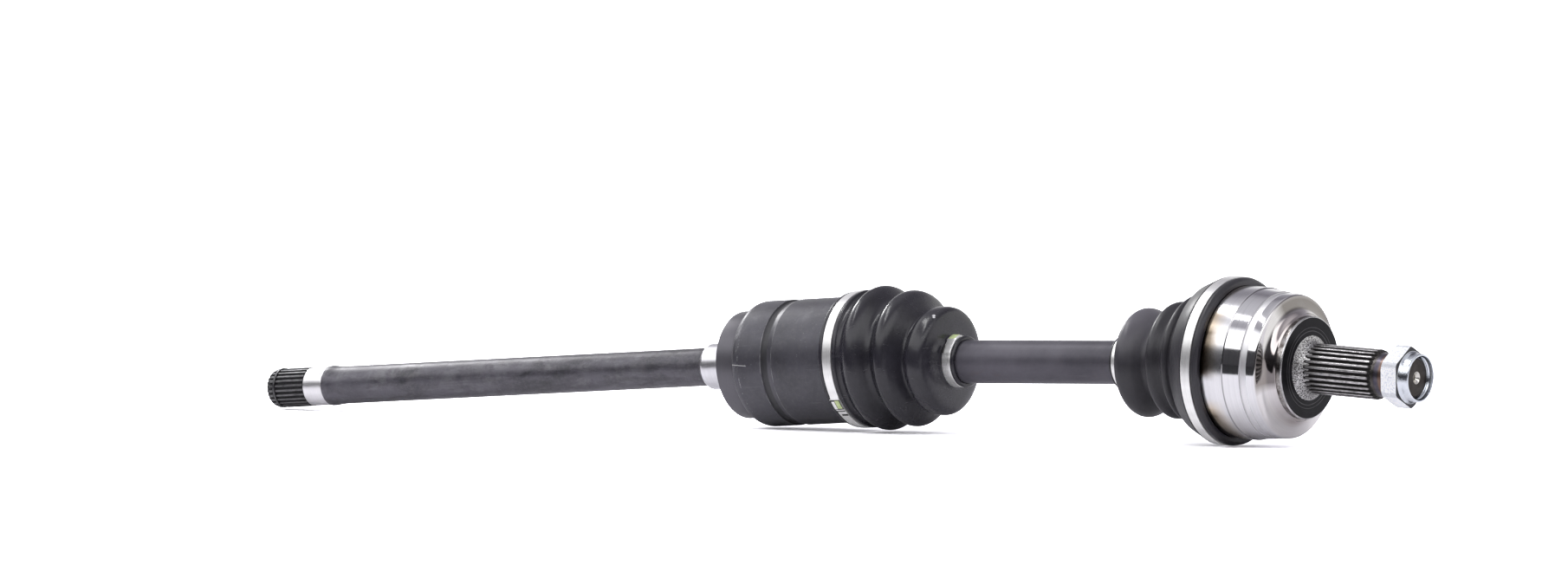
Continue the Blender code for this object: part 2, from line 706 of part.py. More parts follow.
def bent_tube(outline, origin, tilts, bend_start, bend_length):
    """Turns a closed (x, radius) outline about an axis through origin whose tilt eases from
    the first of tilts to the second along the bend."""
    sections = []
    for x, radius in outline:
        bend = smooth_step((x - bend_start) / bend_length)
        turn = Matrix.Rotation(-math.radians(tilts[0] + (tilts[1] - tilts[0]) * bend), 3, "Y")
        section = []
        for k in range(BOOT_SEGMENTS):
            angle = 2 * math.pi * k / BOOT_SEGMENTS
            straight = Vector((x, radius * math.cos(angle), radius * math.sin(angle)))
            section.append((turn @ straight + Vector(origin)) * MM)
        sections.append(section)
    return loft(sections, looped=True)


def add_inner_boot():
    outline = (
        [(24.0, 38.8), (25.2, 39.8), (35.2, 39.8)]
        + INNER_FOLDS
        + [(96.2, 14.2), (104.5, 14.2), (104.5, 13.2), (95.2, 13.2)]
        + inside_of(INNER_FOLDS, INNER_BOOT_WALL)[1:-1][::-1]
        + [(36.7, 38.1), (36.5, 37.95), (24.0, 37.95)]
    )
    mesh = bent_tube(outline, TRIPOD_CENTRE, (ROOT_TILT, BAR_TILT), 45.0, 52.0)
    add_piece("inner_boot", mesh, RUBBER, None, sharp=55.0)


def add_outer_boot():
    outline = (
        [(-95.0, 15.4), (-84.0, 15.4)]
        + OUTER_FOLDS
        + [(-27.0, 47.0), (-21.7, 49.2), (-21.0, 49.1), (-20.8, 48.45), (-11.0, 48.45)]
        + [(-10.0, 47.4), (-10.0, 44.75), (-24.4, 44.75)]
        + inside_of(OUTER_FOLDS, OUTER_BOOT_WALL)[2:][::-1]
        + [(-82.2, 13.2), (-95.0, 13.2)]
    )
    mesh = bent_tube(outline, BALL_CENTRE, (BAR_TILT, STUB_TILT), -72.0, 44.0)
    add_piece("outer_boot", mesh, ELASTOMER, None, sharp=55.0)


# ---------------------------------------------------------------- assembly
add_inner_housing()
add_gearbox_circlip()
add_dust_shield()
add_stop_ring()
add_thrust_spring()
add_thrust_cap()
add_tripod_spider()
for letter, turn in TRUNNION_TURNS.items():
    add_roller(letter, turn)
    add_needle_set(letter, turn)
    add_roller_clip(letter, turn)
add_tripod_circlip()
add_axle_shaft()
add_inner_race()
add_race_circlip()
add_ball_cage()
add_outer_bell()
for number, turn in BALL_TURNS.items():
    add_ball(number, turn)
add_axle_nut()
for clamp in CLAMPS:
    add_clamp(*clamp)
add_inner_boot()
add_outer_boot()
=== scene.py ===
"""Studio view of a front-wheel drive CV axle.

The axle runs along +X, from the gearbox stub's tip at the origin to the wheel stub; +Z is up and
the camera looks from -Y. Three straight axes, each tilted in the XZ plane, meet at the two joint
centres. Lengths are in millimetres and scaled by MM when vertices are made; each turned piece is
built about the X axis of its own frame. Materials measure their object coordinates in metres.
"""

import json
import math
from functools import cached_property

import bmesh
import bpy
from mathutils import Matrix, Vector

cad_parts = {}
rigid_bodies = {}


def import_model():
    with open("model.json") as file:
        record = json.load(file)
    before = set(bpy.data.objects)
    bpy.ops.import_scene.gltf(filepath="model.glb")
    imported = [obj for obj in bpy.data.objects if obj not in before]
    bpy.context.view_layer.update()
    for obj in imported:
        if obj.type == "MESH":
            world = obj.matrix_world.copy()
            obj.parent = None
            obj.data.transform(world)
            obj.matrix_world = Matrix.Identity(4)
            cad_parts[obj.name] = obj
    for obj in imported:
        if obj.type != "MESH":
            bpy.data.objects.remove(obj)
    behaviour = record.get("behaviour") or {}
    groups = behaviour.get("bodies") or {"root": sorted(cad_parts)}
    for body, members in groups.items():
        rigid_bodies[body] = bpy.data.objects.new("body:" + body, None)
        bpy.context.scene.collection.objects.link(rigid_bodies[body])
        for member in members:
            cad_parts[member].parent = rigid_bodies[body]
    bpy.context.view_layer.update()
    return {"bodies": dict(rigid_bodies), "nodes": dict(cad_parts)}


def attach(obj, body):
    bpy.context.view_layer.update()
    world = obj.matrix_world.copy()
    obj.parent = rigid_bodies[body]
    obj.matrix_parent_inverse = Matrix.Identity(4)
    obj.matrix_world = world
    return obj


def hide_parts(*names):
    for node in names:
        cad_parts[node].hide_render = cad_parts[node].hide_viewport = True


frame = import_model()
MM = 0.001

# ------------------------------------------------------------------ axes of the axle
ROOT_TILT = 3.91  # degrees each axis rises towards the wheel
BAR_TILT = 1.372
STUB_TILT = -2.8
ROOT_LENGTH = 420.0  # gearbox tip to inner joint centre
BAR_LENGTH = 312.4  # inner to outer joint centre
BAR_BORE = 13.15  # inside radius of both boots where they sit on the bar
THREAD_PITCH = 1.5


def along(tilt):
    angle = math.radians(tilt)
    return Vector((math.cos(angle), 0.0, math.sin(angle)))


def axis_frame(origin, tilt):
    turn = Matrix.Rotation(-math.radians(tilt), 4, "Y")
    return Matrix.Translation(Vector(origin) * MM) @ turn


INNER_CENTRE = along(ROOT_TILT) * ROOT_LENGTH
OUTER_CENTRE = INNER_CENTRE + along(BAR_TILT) * BAR_LENGTH

AT_TIP = axis_frame((0, 0, 0), ROOT_TILT)
AT_CAN = axis_frame(INNER_CENTRE, ROOT_TILT)
AT_BAR = axis_frame(INNER_CENTRE, BAR_TILT)
AT_RACE = axis_frame(OUTER_CENTRE, BAR_TILT)
AT_BELL = axis_frame(OUTER_CENTRE, STUB_TILT)


# ------------------------------------------------------------------ outlines
def rounded(points, steps=4):
    """Turns (x, r) or (x, r, fillet) points into a line whose marked corners are rounded."""
    line = []
    for i, point in enumerate(points):
        if len(point) < 3 or i in (0, len(points) - 1):
            line.append((point[0], point[1]))
            continue
        corner = Vector((point[0], point[1]))
        before = Vector(points[i - 1][:2]) - corner
        after = Vector(points[i + 1][:2]) - corner
        cut = min(point[2], 0.46 * before.length, 0.46 * after.length)
        start = corner + before.normalized() * cut
        end = corner + after.normalized() * cut
        for k in range(steps + 1):
            t = k / steps
            q = start * (1 - t) ** 2 + corner * (2 * t * (1 - t)) + end * t * t
            line.append((q.x, q.y))
    return line


def curve_through(points, per):
    """A centripetal spline through the points, with `per` steps between neighbours."""
    pts = [Vector(p) for p in points]
    pts = [pts[0] * 2 - pts[1]] + pts + [pts[-1] * 2 - pts[-2]]
    line = []
    for i in range(1, len(pts) - 2):
        p0, p1, p2, p3 = pts[i - 1 : i + 3]
        t0 = 0.0
        t1 = t0 + max((p1 - p0).length, 1e-6) ** 0.5
        t2 = t1 + max((p2 - p1).length, 1e-6) ** 0.5
        t3 = t2 + max((p3 - p2).length, 1e-6) ** 0.5
        for k in range(per):
            t = t1 + (t2 - t1) * k / per
            a1 = p0 * ((t1 - t) / (t1 - t0)) + p1 * ((t - t0) / (t1 - t0))
            a2 = p1 * ((t2 - t) / (t2 - t1)) + p2 * ((t - t1) / (t2 - t1))
            a3 = p2 * ((t3 - t) / (t3 - t2)) + p3 * ((t - t2) / (t3 - t2))
            b1 = a1 * ((t2 - t) / (t2 - t0)) + a2 * ((t - t0) / (t2 - t0))
            b2 = a2 * ((t3 - t) / (t3 - t1)) + a3 * ((t - t1) / (t3 - t1))
            c = b1 * ((t2 - t) / (t2 - t1)) + b2 * ((t - t1) / (t2 - t1))
            line.append((c.x, c.y))
    line.append(tuple(points[-1]))
    return line


def offset_line(line, thickness):
    """The line moved sideways, to the right of its direction."""
    pts = [Vector(p) for p in line]
    moved = []
    for i, point in enumerate(pts):
        before, after = pts[max(i - 1, 0)], pts[min(i + 1, len(pts) - 1)]
        tangent = (after - before).normalized()
        moved.append(tuple(point + Vector((tangent.y, -tangent.x)) * thickness))
    return moved


def thread_line(start, end, turn):
    """Repeats one turn, a list of (x offset, r), at the thread pitch."""
    line = []
    x = start
    while x < end:
        line += [(x + offset, r) for offset, r in turn]
        x += THREAD_PITCH
    return line


# ------------------------------------------------------------------ meshes
def polar(x, r, angle):
    """A point in metres; the angle, in radians, runs from +Y towards +Z."""
    return (x * MM, r * math.cos(angle) * MM, r * math.sin(angle) * MM)


def bridge(bm, ring_a, ring_b):
    n = len(ring_a)
    for k in range(n):
        bm.faces.new((ring_a[k], ring_a[(k + 1) % n], ring_b[(k + 1) % n], ring_b[k]))


def revolve(profile, seg, closed=False, start=0.0, sweep=360.0, shape=None):
    """Turns (x, r) about X. shape(degrees, x, r) may move a point."""
    bm = bmesh.new()
    full = sweep >= 360.0
    count = seg if full else seg + 1
    rings = []
    for x, r in profile:
        if r < 1e-7:
            rings.append([bm.verts.new((x * MM, 0.0, 0.0))] * count)
            continue
        ring = []
        for k in range(count):
            degrees = start + sweep * k / seg
            px, pr = shape(degrees, x, r) if shape else (x, r)
            ring.append(bm.verts.new(polar(px, pr, math.radians(degrees))))
        rings.append(ring)
    pairs = list(zip(rings, rings[1:]))
    if closed:
        pairs.append((rings[-1], rings[0]))
    for a, b in pairs:
        for k in range(seg):
            n = (k + 1) % count if full else k + 1
            corners = []
            # a ring on the axis is one vertex repeated, so its quads become triangles
            for v in (a[k], a[n], b[n], b[k]):
                if v not in corners:
                    corners.append(v)
            if len(corners) > 2:
                bm.faces.new(corners)
    if not full:
        bm.faces.new([ring[0] for ring in rings])
        bm.faces.new([ring[-1] for ring in rings])
    return bm


def prism(points, x0, x1):
    """A (y, z) outline drawn out along X."""
    bm = bmesh.new()
    ends = [[bm.verts.new((x * MM, y * MM, z * MM)) for y, z in points] for x in (x0, x1)]
    bridge(bm, *ends)
    bm.faces.new(ends[0])
    bm.faces.new(ends[1])
    return bm


# one tooth with rounded flanks: (place in the pitch, height from root 0 to tip 1)
TOOTH = [
    (-0.46, 0.0), (-0.38, 0.06), (-0.31, 0.30), (-0.24, 0.72), (-0.19, 0.93), (-0.13, 1.0),
    (0.0, 1.0),
    (0.13, 1.0), (0.19, 0.93), (0.24, 0.72), (0.31, 0.30), (0.38, 0.06), (0.46, 0.0),
]


def toothed(sections, teeth):
    """A splined bar. Sections are (x, root radius, tip radius)."""
    bm = bmesh.new()
    step = 2.0 * math.pi / teeth
    rings = []
    for x, root, tip in sections:
        ring = []
        for t in range(teeth):
            for part, height in TOOTH:
                r = root + (tip - root) * height
                ring.append(bm.verts.new(polar(x, r, (t + part) * step)))
        rings.append(ring)
    for a, b in zip(rings, rings[1:]):
        bridge(bm, a, b)
    for end in (rings[0], rings[-1]):
        hub = bm.verts.new((end[0].co.x, 0, 0))
        for k in range(len(end)):
            bm.faces.new((end[k], end[(k + 1) % len(end)], hub))
    return bm


# ------------------------------------------------------------------ objects
REPLACED = set()  # CAD nodes that a detailed piece stands in for


def make_object(name, bm, world):
    mesh = bpy.data.meshes.new(name)
    bmesh.ops.recalc_face_normals(bm, faces=bm.faces[:])
    bm.to_mesh(mesh)
    bm.free()
    ob = bpy.data.objects.new(name, mesh)
    bpy.context.scene.collection.objects.link(ob)
    ob.matrix_world = world
    return ob


def finished_object(name, bm, world, mat, sharp=28.0):
    """A smooth-shaded object, with edges steeper than `sharp` degrees kept sharp."""
    ob = make_object(name, bm, world)
    ob.data.shade_smooth()
    ob.data.set_sharp_from_angle(angle=math.radians(sharp))
    ob.data.materials.append(mat)
    return ob


def register(ob, body, node):
    """Tells the frame what the object moves with and what it replaces."""
    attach(ob, body)
    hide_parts(node)
    REPLACED.add(node)


def piece(name, bm, world, mat, body, node, sharp=28.0):
    ob = finished_object(name, bm, world, mat, sharp)
    register(ob, body, node)
    return ob


def apply_modifiers(ob, sharp):
    """Keeps the result of the modifiers as the object's mesh."""
    bpy.context.view_layer.update()
    depsgraph = bpy.context.evaluated_depsgraph_get()
    mesh = bpy.data.meshes.new_from_object(ob.evaluated_get(depsgraph))
    ob.modifiers.clear()
    old = ob.data
    ob.data = mesh
    bpy.data.meshes.remove(old)
    mesh.set_sharp_from_angle(angle=math.radians(sharp))


def apply_booleans(ob, cutters, operation="DIFFERENCE"):
    for cutter in cutters:
        cut = ob.modifiers.new("cut", "BOOLEAN")
        cut.operation = operation
        cut.solver = "EXACT"
        cut.object = cutter
    apply_modifiers(ob, sharp=28.0)
    for cutter in cutters:
        bpy.data.objects.remove(cutter, do_unlink=True)


# ------------------------------------------------------------------ node tools
class Nodes:
    """Adds nodes to one tree. Most methods return the socket of their result."""

    def __init__(self, tree):
        self.tree = tree

    def node(self, kind, **settings):
        made = self.tree.nodes.new(kind)
        for key, value in settings.items():
            setattr(made, key, value)
        return made

    def put(self, socket, value):
        """Links a socket, or stores a plain value."""
        if isinstance(value, bpy.types.NodeSocket):
            self.tree.links.new(value, socket)
        elif isinstance(value, tuple) and len(value) == 3 and socket.type == "RGBA":
            socket.default_value = (*value, 1.0)
        else:
            socket.default_value = value

    def split(self, vector):
        made = self.node("ShaderNodeSeparateXYZ")
        self.put(made.inputs[0], vector)
        return made.outputs

    def math(self, operation, a, b=0.0, c=0.0, clamp=False):
        made = self.node("ShaderNodeMath", operation=operation, use_clamp=clamp)
        for socket, value in zip(made.inputs, (a, b, c)):
            self.put(socket, value)
        return made.outputs[0]

    def add(self, a, b):
        return self.math("ADD", a, b)

    def sub(self, a, b):
        return self.math("SUBTRACT", a, b)

    def mul(self, a, b, clamp=False):
        return self.math("MULTIPLY", a, b, clamp=clamp)

    def larger(self, a, b, clamp=False):
        return self.math("MAXIMUM", a, b, clamp=clamp)

    def below(self, value, limit):
        return self.math("LESS_THAN", value, limit)

    def above(self, value, limit):
        return self.math("GREATER_THAN", value, limit)

    def window(self, value, lo, hi, soft):
        """1 inside lo..hi, falling to 0 over soft."""
        a = self.math("DIVIDE", self.sub(value, lo - soft), soft, clamp=True)
        b = self.math("DIVIDE", self.sub(hi + soft, value), soft, clamp=True)
        return self.mul(a, b)

    def vector_math(self, operation, a, b=None, scale=None):
        made = self.node("ShaderNodeVectorMath", operation=operation)
        self.put(made.inputs[0], a)
        if b is not None:
            self.put(made.inputs[1], b)
        if scale is not None:
            self.put(made.inputs["Scale"], scale)
        return made.outputs["Value" if operation == "DISTANCE" else "Vector"]

    def ramp(self, value, stops):
        """Colour ramp; stops are (position, grey or colour)."""
        made = self.node("ShaderNodeValToRGB")
        elements = made.color_ramp.elements
        while len(elements) < len(stops):
            elements.new(0.5)
        for item, (position, c) in zip(elements, stops):
            item.position = position
            item.color = (c, c, c, 1.0) if isinstance(c, (int, float)) else (*c, 1.0)
        self.put(made.inputs[0], value)
        return made.outputs[0]

    def rise(self, value, start, end, low=0.0, high=1.0):
        return self.ramp(value, [(start, low), (end, high)])

    def fall(self, value, start, end):
        return self.rise(value, start, end, low=1.0, high=0.0)

    def mix(self, factor, a, b):
        made = self.node("ShaderNodeMix", data_type="RGBA")
        self.put(made.inputs[0], factor)
        self.put(made.inputs[6], a)
        self.put(made.inputs[7], b)
        return made.outputs[2]

    def mixf(self, factor, a, b):
        """A number going from a to b."""
        made = self.node("ShaderNodeMix", data_type="FLOAT")
        self.put(made.inputs[0], factor)
        self.put(made.inputs[2], a)
        self.put(made.inputs[3], b)
        return made.outputs[0]

    def mottle(self, value, start, end, dark, pale):
        """Colour going from dark to pale as value rises from start to end."""
        return self.mix(self.rise(value, start, end), dark, pale)

    def cover(self, under, mask, strength, paint):
        """Lays paint over a colour where the mask is high."""
        return self.mix(self.mul(mask, strength), under, paint)


def blank_material(name):
    """An empty material: returns it, its node tools and its output node."""
    mat = bpy.data.materials.new(name)
    mat.use_nodes = True
    mat.node_tree.nodes.clear()
    nodes = Nodes(mat.node_tree)
    return mat, nodes, nodes.node("ShaderNodeOutputMaterial")


class Surface(Nodes):
    """A material with one Principled shader, patterned in object coordinates."""

    def __init__(self, name):
        self.mat, nodes, out = blank_material(name)
        super().__init__(nodes.tree)
        self.shader = self.node("ShaderNodeBsdfPrincipled")
        self.put(out.inputs[0], self.shader.outputs[0])
        self.normal = None

    @cached_property
    def coord(self):
        return self.node("ShaderNodeTexCoord").outputs["Object"]

    @cached_property
    def xyz(self):
        return self.split(self.coord)

    @property
    def x(self):
        return self.xyz[0]

    @property
    def y(self):
        return self.xyz[1]

    @property
    def z(self):
        return self.xyz[2]

    def radius(self):
        return self.math("SQRT", self.add(self.mul(self.y, self.y), self.mul(self.z, self.z)))

    def set(self, **inputs):
        """Fills shader inputs; an underscore stands for a space in the input's name."""
        for key, value in inputs.items():
            self.put(self.shader.inputs[key.replace("_", " ")], value)

    def vec(self, x=0.0, y=0.0, z=0.0):
        made = self.node("ShaderNodeCombineXYZ")
        for socket, value in zip(made.inputs, (x, y, z)):
            self.put(socket, value)
        return made.outputs[0]

    def noise(self, scale=1.0, detail=4.0, rough=0.55, stretch=None, vector=None, distortion=0.0):
        """Noise; stretch multiplies the object coordinates, vector takes their place."""
        if vector is None:
            vector = self.coord
            if stretch:
                vector = self.vector_math("MULTIPLY", vector, stretch)
        made = self.node("ShaderNodeTexNoise")
        made.inputs["Scale"].default_value = scale
        made.inputs["Detail"].default_value = detail
        made.inputs["Roughness"].default_value = rough
        made.inputs["Distortion"].default_value = distortion
        self.put(made.inputs["Vector"], vector)
        return made.outputs[0]

    def specks(self, scale, size, patches, spread, detail=3.0, rough=0.6):
        """Dots at cell centres: size is the ramp that ends a dot, spread the ramp over a noise
        of scale `patches` that gathers them."""
        cells = self.node("ShaderNodeTexVoronoi")
        cells.inputs["Scale"].default_value = scale
        self.put(cells.inputs["Vector"], self.coord)
        dots = self.fall(cells.outputs["Distance"], *size)
        return self.mul(dots, self.rise(self.noise(patches, detail, rough), *spread))

    def turning(self):
        """Fine lathe rings: noise that varies along the axis and the radius, hardly round it."""
        vector = self.vec(
            self.mul(self.x, 1100.0),
            self.mul(self.radius(), 1100.0),
            self.mul(self.math("ARCTAN2", self.y, self.z), 0.35),
        )
        return self.noise(detail=3.0, rough=0.7, vector=vector)

    def bump(self, height, strength, distance):
        """Adds a bump on top of those made before."""
        made = self.node("ShaderNodeBump")
        self.put(made.inputs["Strength"], strength)
        self.put(made.inputs["Distance"], distance)
        self.put(made.inputs["Height"], height)
        if self.normal is not None:
            self.put(made.inputs["Normal"], self.normal)
        self.normal = made.outputs[0]
        self.put(self.shader.inputs["Normal"], self.normal)


def scaled(colour, factor):
    return tuple(c * factor for c in colour)


# ------------------------------------------------------------------ shared materials
def phosphate(name, base, rough, scuff):
    """Dark phosphated forging: mottled grey-black with pale scuffs and pinprick specks; the
    scuffs are made stronger on the upper side as painted top light.
    """
    g = Surface(name)
    cloud = g.noise(scale=22.0, detail=7.0, rough=0.68)
    patch = g.noise(stretch=(48.0, 130.0, 130.0), detail=6.0, rough=0.70, distortion=0.4)
    fine = g.noise(scale=520.0, detail=5.0, rough=0.7)
    grain = g.noise(scale=1900.0, detail=2.0, rough=0.6)
    tone = g.mottle(
        cloud, start=0.36, end=0.64, dark=scaled(base, 0.52), pale=scaled(base, 1.60)
    )
    blotches = g.rise(patch, start=0.45, end=0.60)
    tone = g.cover(tone, blotches, strength=0.6, paint=scaled(base, 2.5))
    grit = g.rise(fine, start=0.48, end=0.66)
    tone = g.cover(tone, grit, strength=0.4, paint=scaled(base, 2.3))
    # rubbed streaks, weighted towards the upper side as painted top light
    streaks = g.noise(stretch=(16.0, 95.0, 95.0), detail=8.0, rough=0.74, distortion=0.6)
    breaks = g.noise(scale=75.0, detail=5.0, rough=0.72)
    rub_and_painted_light = g.mul(g.rise(streaks, start=0.47, end=0.60), g.rise(breaks, start=0.42, end=0.56))
    rub_and_painted_light = g.mul(rub_and_painted_light, g.rise(g.mul(g.z, 85.0), start=0.45, end=0.95, low=0.35))
    specks = g.specks(scale=520.0, size=(0.040, 0.085), patches=48.0, spread=(0.48, 0.58))
    mark = g.larger(g.mul(rub_and_painted_light, scuff), g.mul(specks, 0.85), clamp=True)
    pointiness = g.node("ShaderNodeNewGeometry").outputs["Pointiness"]
    edges = g.rise(pointiness, start=0.50, end=0.56)
    worn = g.mul(edges, g.rise(fine, start=0.35, end=0.6, low=0.2, high=0.9))
    mark = g.larger(mark, g.mul(worn, 0.45))
    g.set(
        Base_Color=g.mix(mark, tone, (0.27, 0.265, 0.28)),
        Metallic=g.mixf(mark, 0.30, 0.6),
        Roughness=g.mixf(g.rise(cloud, start=0.3, end=0.7), rough - 0.07, rough + 0.08),
        Specular_IOR_Level=0.8,
    )
    g.bump(grain, strength=0.12, distance=0.0002)
    g.bump(fine, strength=0.16, distance=0.0003)
    g.bump(patch, strength=0.10, distance=0.0010)
    return g.mat


def bright_steel(name, base, rough):
    """Turned steel with fine rings and darker smears."""
    g = Surface(name)
    rings = g.turning()
    smear = g.noise(scale=75.0, detail=5.0, rough=0.6)
    colour = g.mottle(
        rings, start=0.3, end=0.7, dark=scaled(base, 0.95), pale=scaled(base, 1.05)
    )
    smears = g.rise(smear, start=0.5, end=0.75)
    colour = g.cover(colour, smears, strength=0.25, paint=scaled(base, 0.7))
    g.set(Base_Color=colour, Metallic=1.0, Roughness=g.mixf(rings, rough - 0.03, rough + 0.03))
    g.bump(rings, strength=0.025, distance=0.00005)
    return g.mat


def spline_steel(name, root, tip, dark, bright, worn, crest_start):
    """Dark grooves and rubbed crests carrying a painted highlight, streaked along each tooth;
    root and tip are radii.
    """
    g = Surface(name)
    depth = g.sub(g.radius(), root * MM)
    height = g.math("DIVIDE", depth, (tip - root) * MM, clamp=True)
    grit = g.noise(scale=1500.0, detail=4.0, rough=0.75)
    streak = g.noise(stretch=(300.0, 1300.0, 1300.0), detail=6.0, rough=0.75)
    long_streak = g.noise(stretch=(60.0, 900.0, 900.0), detail=3.0, rough=0.6)
    # crest colour: rubbed metal and a painted highlight along the tooth tips, scaled by worn
    crest_wear_and_highlight = g.mul(
        g.rise(height, start=crest_start, end=0.97),
        g.rise(streak, start=0.34, end=0.55, low=0.20),
    )
    crest_wear_and_highlight = g.mul(g.mul(crest_wear_and_highlight, g.rise(long_streak, start=0.30, end=0.55, low=0.45)), worn)
    grooves = g.mottle(grit, start=0.40, end=0.68, dark=dark, pale=scaled(dark, 3.2))
    g.set(
        Base_Color=g.mix(crest_wear_and_highlight, grooves, bright),
        Metallic=g.mixf(crest_wear_and_highlight, 0.6, 1.0),
        Roughness=g.mixf(crest_wear_and_highlight, 0.46, 0.24),
    )
    g.bump(streak, strength=0.35, distance=0.0002)
    return g.mat


def spring_steel(name, base):
    g = Surface(name)
    mottle = g.noise(scale=300.0, detail=4.0, rough=0.6)
    g.set(
        Base_Color=g.mix(mottle, scaled(base, 0.6), scaled(base, 1.4)),
        Metallic=1.0,
        Roughness=g.mixf(mottle, 0.26, 0.42),
    )
    g.bump(mottle, strength=0.12, distance=0.0001)
    return g.mat


def ground_steel(name, base, rough):
    """Smooth steel with greasy patches."""
    g = Surface(name)
    mottle = g.noise(scale=260.0, detail=5.0, rough=0.65)
    grease = g.rise(g.noise(scale=48.0, detail=4.0, rough=0.6), start=0.45, end=0.62)
    colour = g.mix(mottle, scaled(base, 0.8), base)
    colour = g.cover(colour, grease, strength=0.35, paint=(0.10, 0.085, 0.05))
    g.set(Base_Color=colour, Metallic=1.0, Roughness=g.mixf(grease, rough, rough + 0.12))
    g.bump(mottle, strength=0.06, distance=0.0001)
    return g.mat


# ------------------------------------------------------------------ gearbox stub
# outlines are (x from the gearbox tip, radius[, fillet])
LAND = [
    (29.02, 10.0), (29.02, 11.55, 0.2), (29.4, 11.82, 0.2), (42.8, 11.82, 0.2),
    (43.25, 11.5), (43.3, 10.0),
]
COLLAR = [
    (334.0, 11.0), (334.0, 11.5, 0.2), (336.4, 13.6, 0.4), (337.3, 13.85, 0.3),
    (359.9, 13.85, 0.2), (360.5, 13.5), (360.7, 11.0),
]
GEARBOX_SHAFT = [
    (0.0, 0.0), (0.0, 9.6, 0.3), (0.7, 10.4, 0.3), (43.3, 10.6), (43.35, 11.9, 0.3),
    (44.0, 12.3, 0.4), (46.6, 12.25, 1.5), (50.4, 11.75, 1.5), (54.5, 11.52, 2.0),
    (200.0, 11.5), (327.0, 11.46), (333.8, 11.46, 0.3), (334.3, 10.9), (360.9, 10.9),
    (360.9, 0.0),
]
SNAP_RING = [
    (5.85, 11.1), (5.85, 12.1, 0.25), (6.1, 12.4, 0.25), (6.9, 12.4, 0.25),
    (7.15, 12.1, 0.25), (7.15, 11.1),
]
DUST_SHIELD = [
    (361.5, 28.4), (361.5, 31.5, 0.5), (362.2, 32.2, 0.5), (373.8, 32.2, 0.4),
    (374.5, 31.6, 0.3), (374.5, 28.4),
]
# (x, root radius, tip radius) of the splines each side of the snap ring
GEARBOX_TEETH = 25
FRONT_SPLINE = [
    (0.35, 10.2, 10.6), (1.1, 10.6, 11.1), (2.9, 10.8, 11.85), (3.6, 10.85, 12.0),
    (5.5, 10.85, 12.0),
]
MAIN_SPLINE = [(7.5, 10.85, 11.9), (7.7, 10.85, 12.0), (27.0, 10.85, 12.0), (28.9, 10.9, 12.0)]

# (x from the inner joint centre, radius[, fillet]); the hollow opens towards the wheel
CAN = [
    (-58.8, 0.0), (-58.8, 10.9), (-58.8, 27.4, 0.3), (-58.2, 28.0, 0.3), (-44.9, 28.0),
    (-44.8, 32.5, 0.4), (-44.3, 34.1, 0.5), (-43.2, 35.9, 0.9), (-41.6, 37.1, 0.9),
    (-39.4, 37.6, 0.8), (-21.0, 37.6, 0.2), (-20.4, 36.5, 0.3), (-16.8, 36.5, 0.6),
    (-13.1, 37.6, 0.4), (35.2, 37.6, 0.4), (36.0, 36.8, 0.4), (36.0, 30.1, 0.3),
    (35.0, 29.8), (35.0, 34.9), (33.0, 34.9), (33.0, 29.2), (3.0, 19.5), (-36.9, 19.5),
    (-36.9, 13.0), (-46.0, 13.0), (-46.0, 0.0),
]
TRACK_RADIUS = 33.6  # the three-lobed hollow of the can
TRACK_HALF_WIDTH = 15.0
TRACK_SPAN = (-37.5, 37.0)


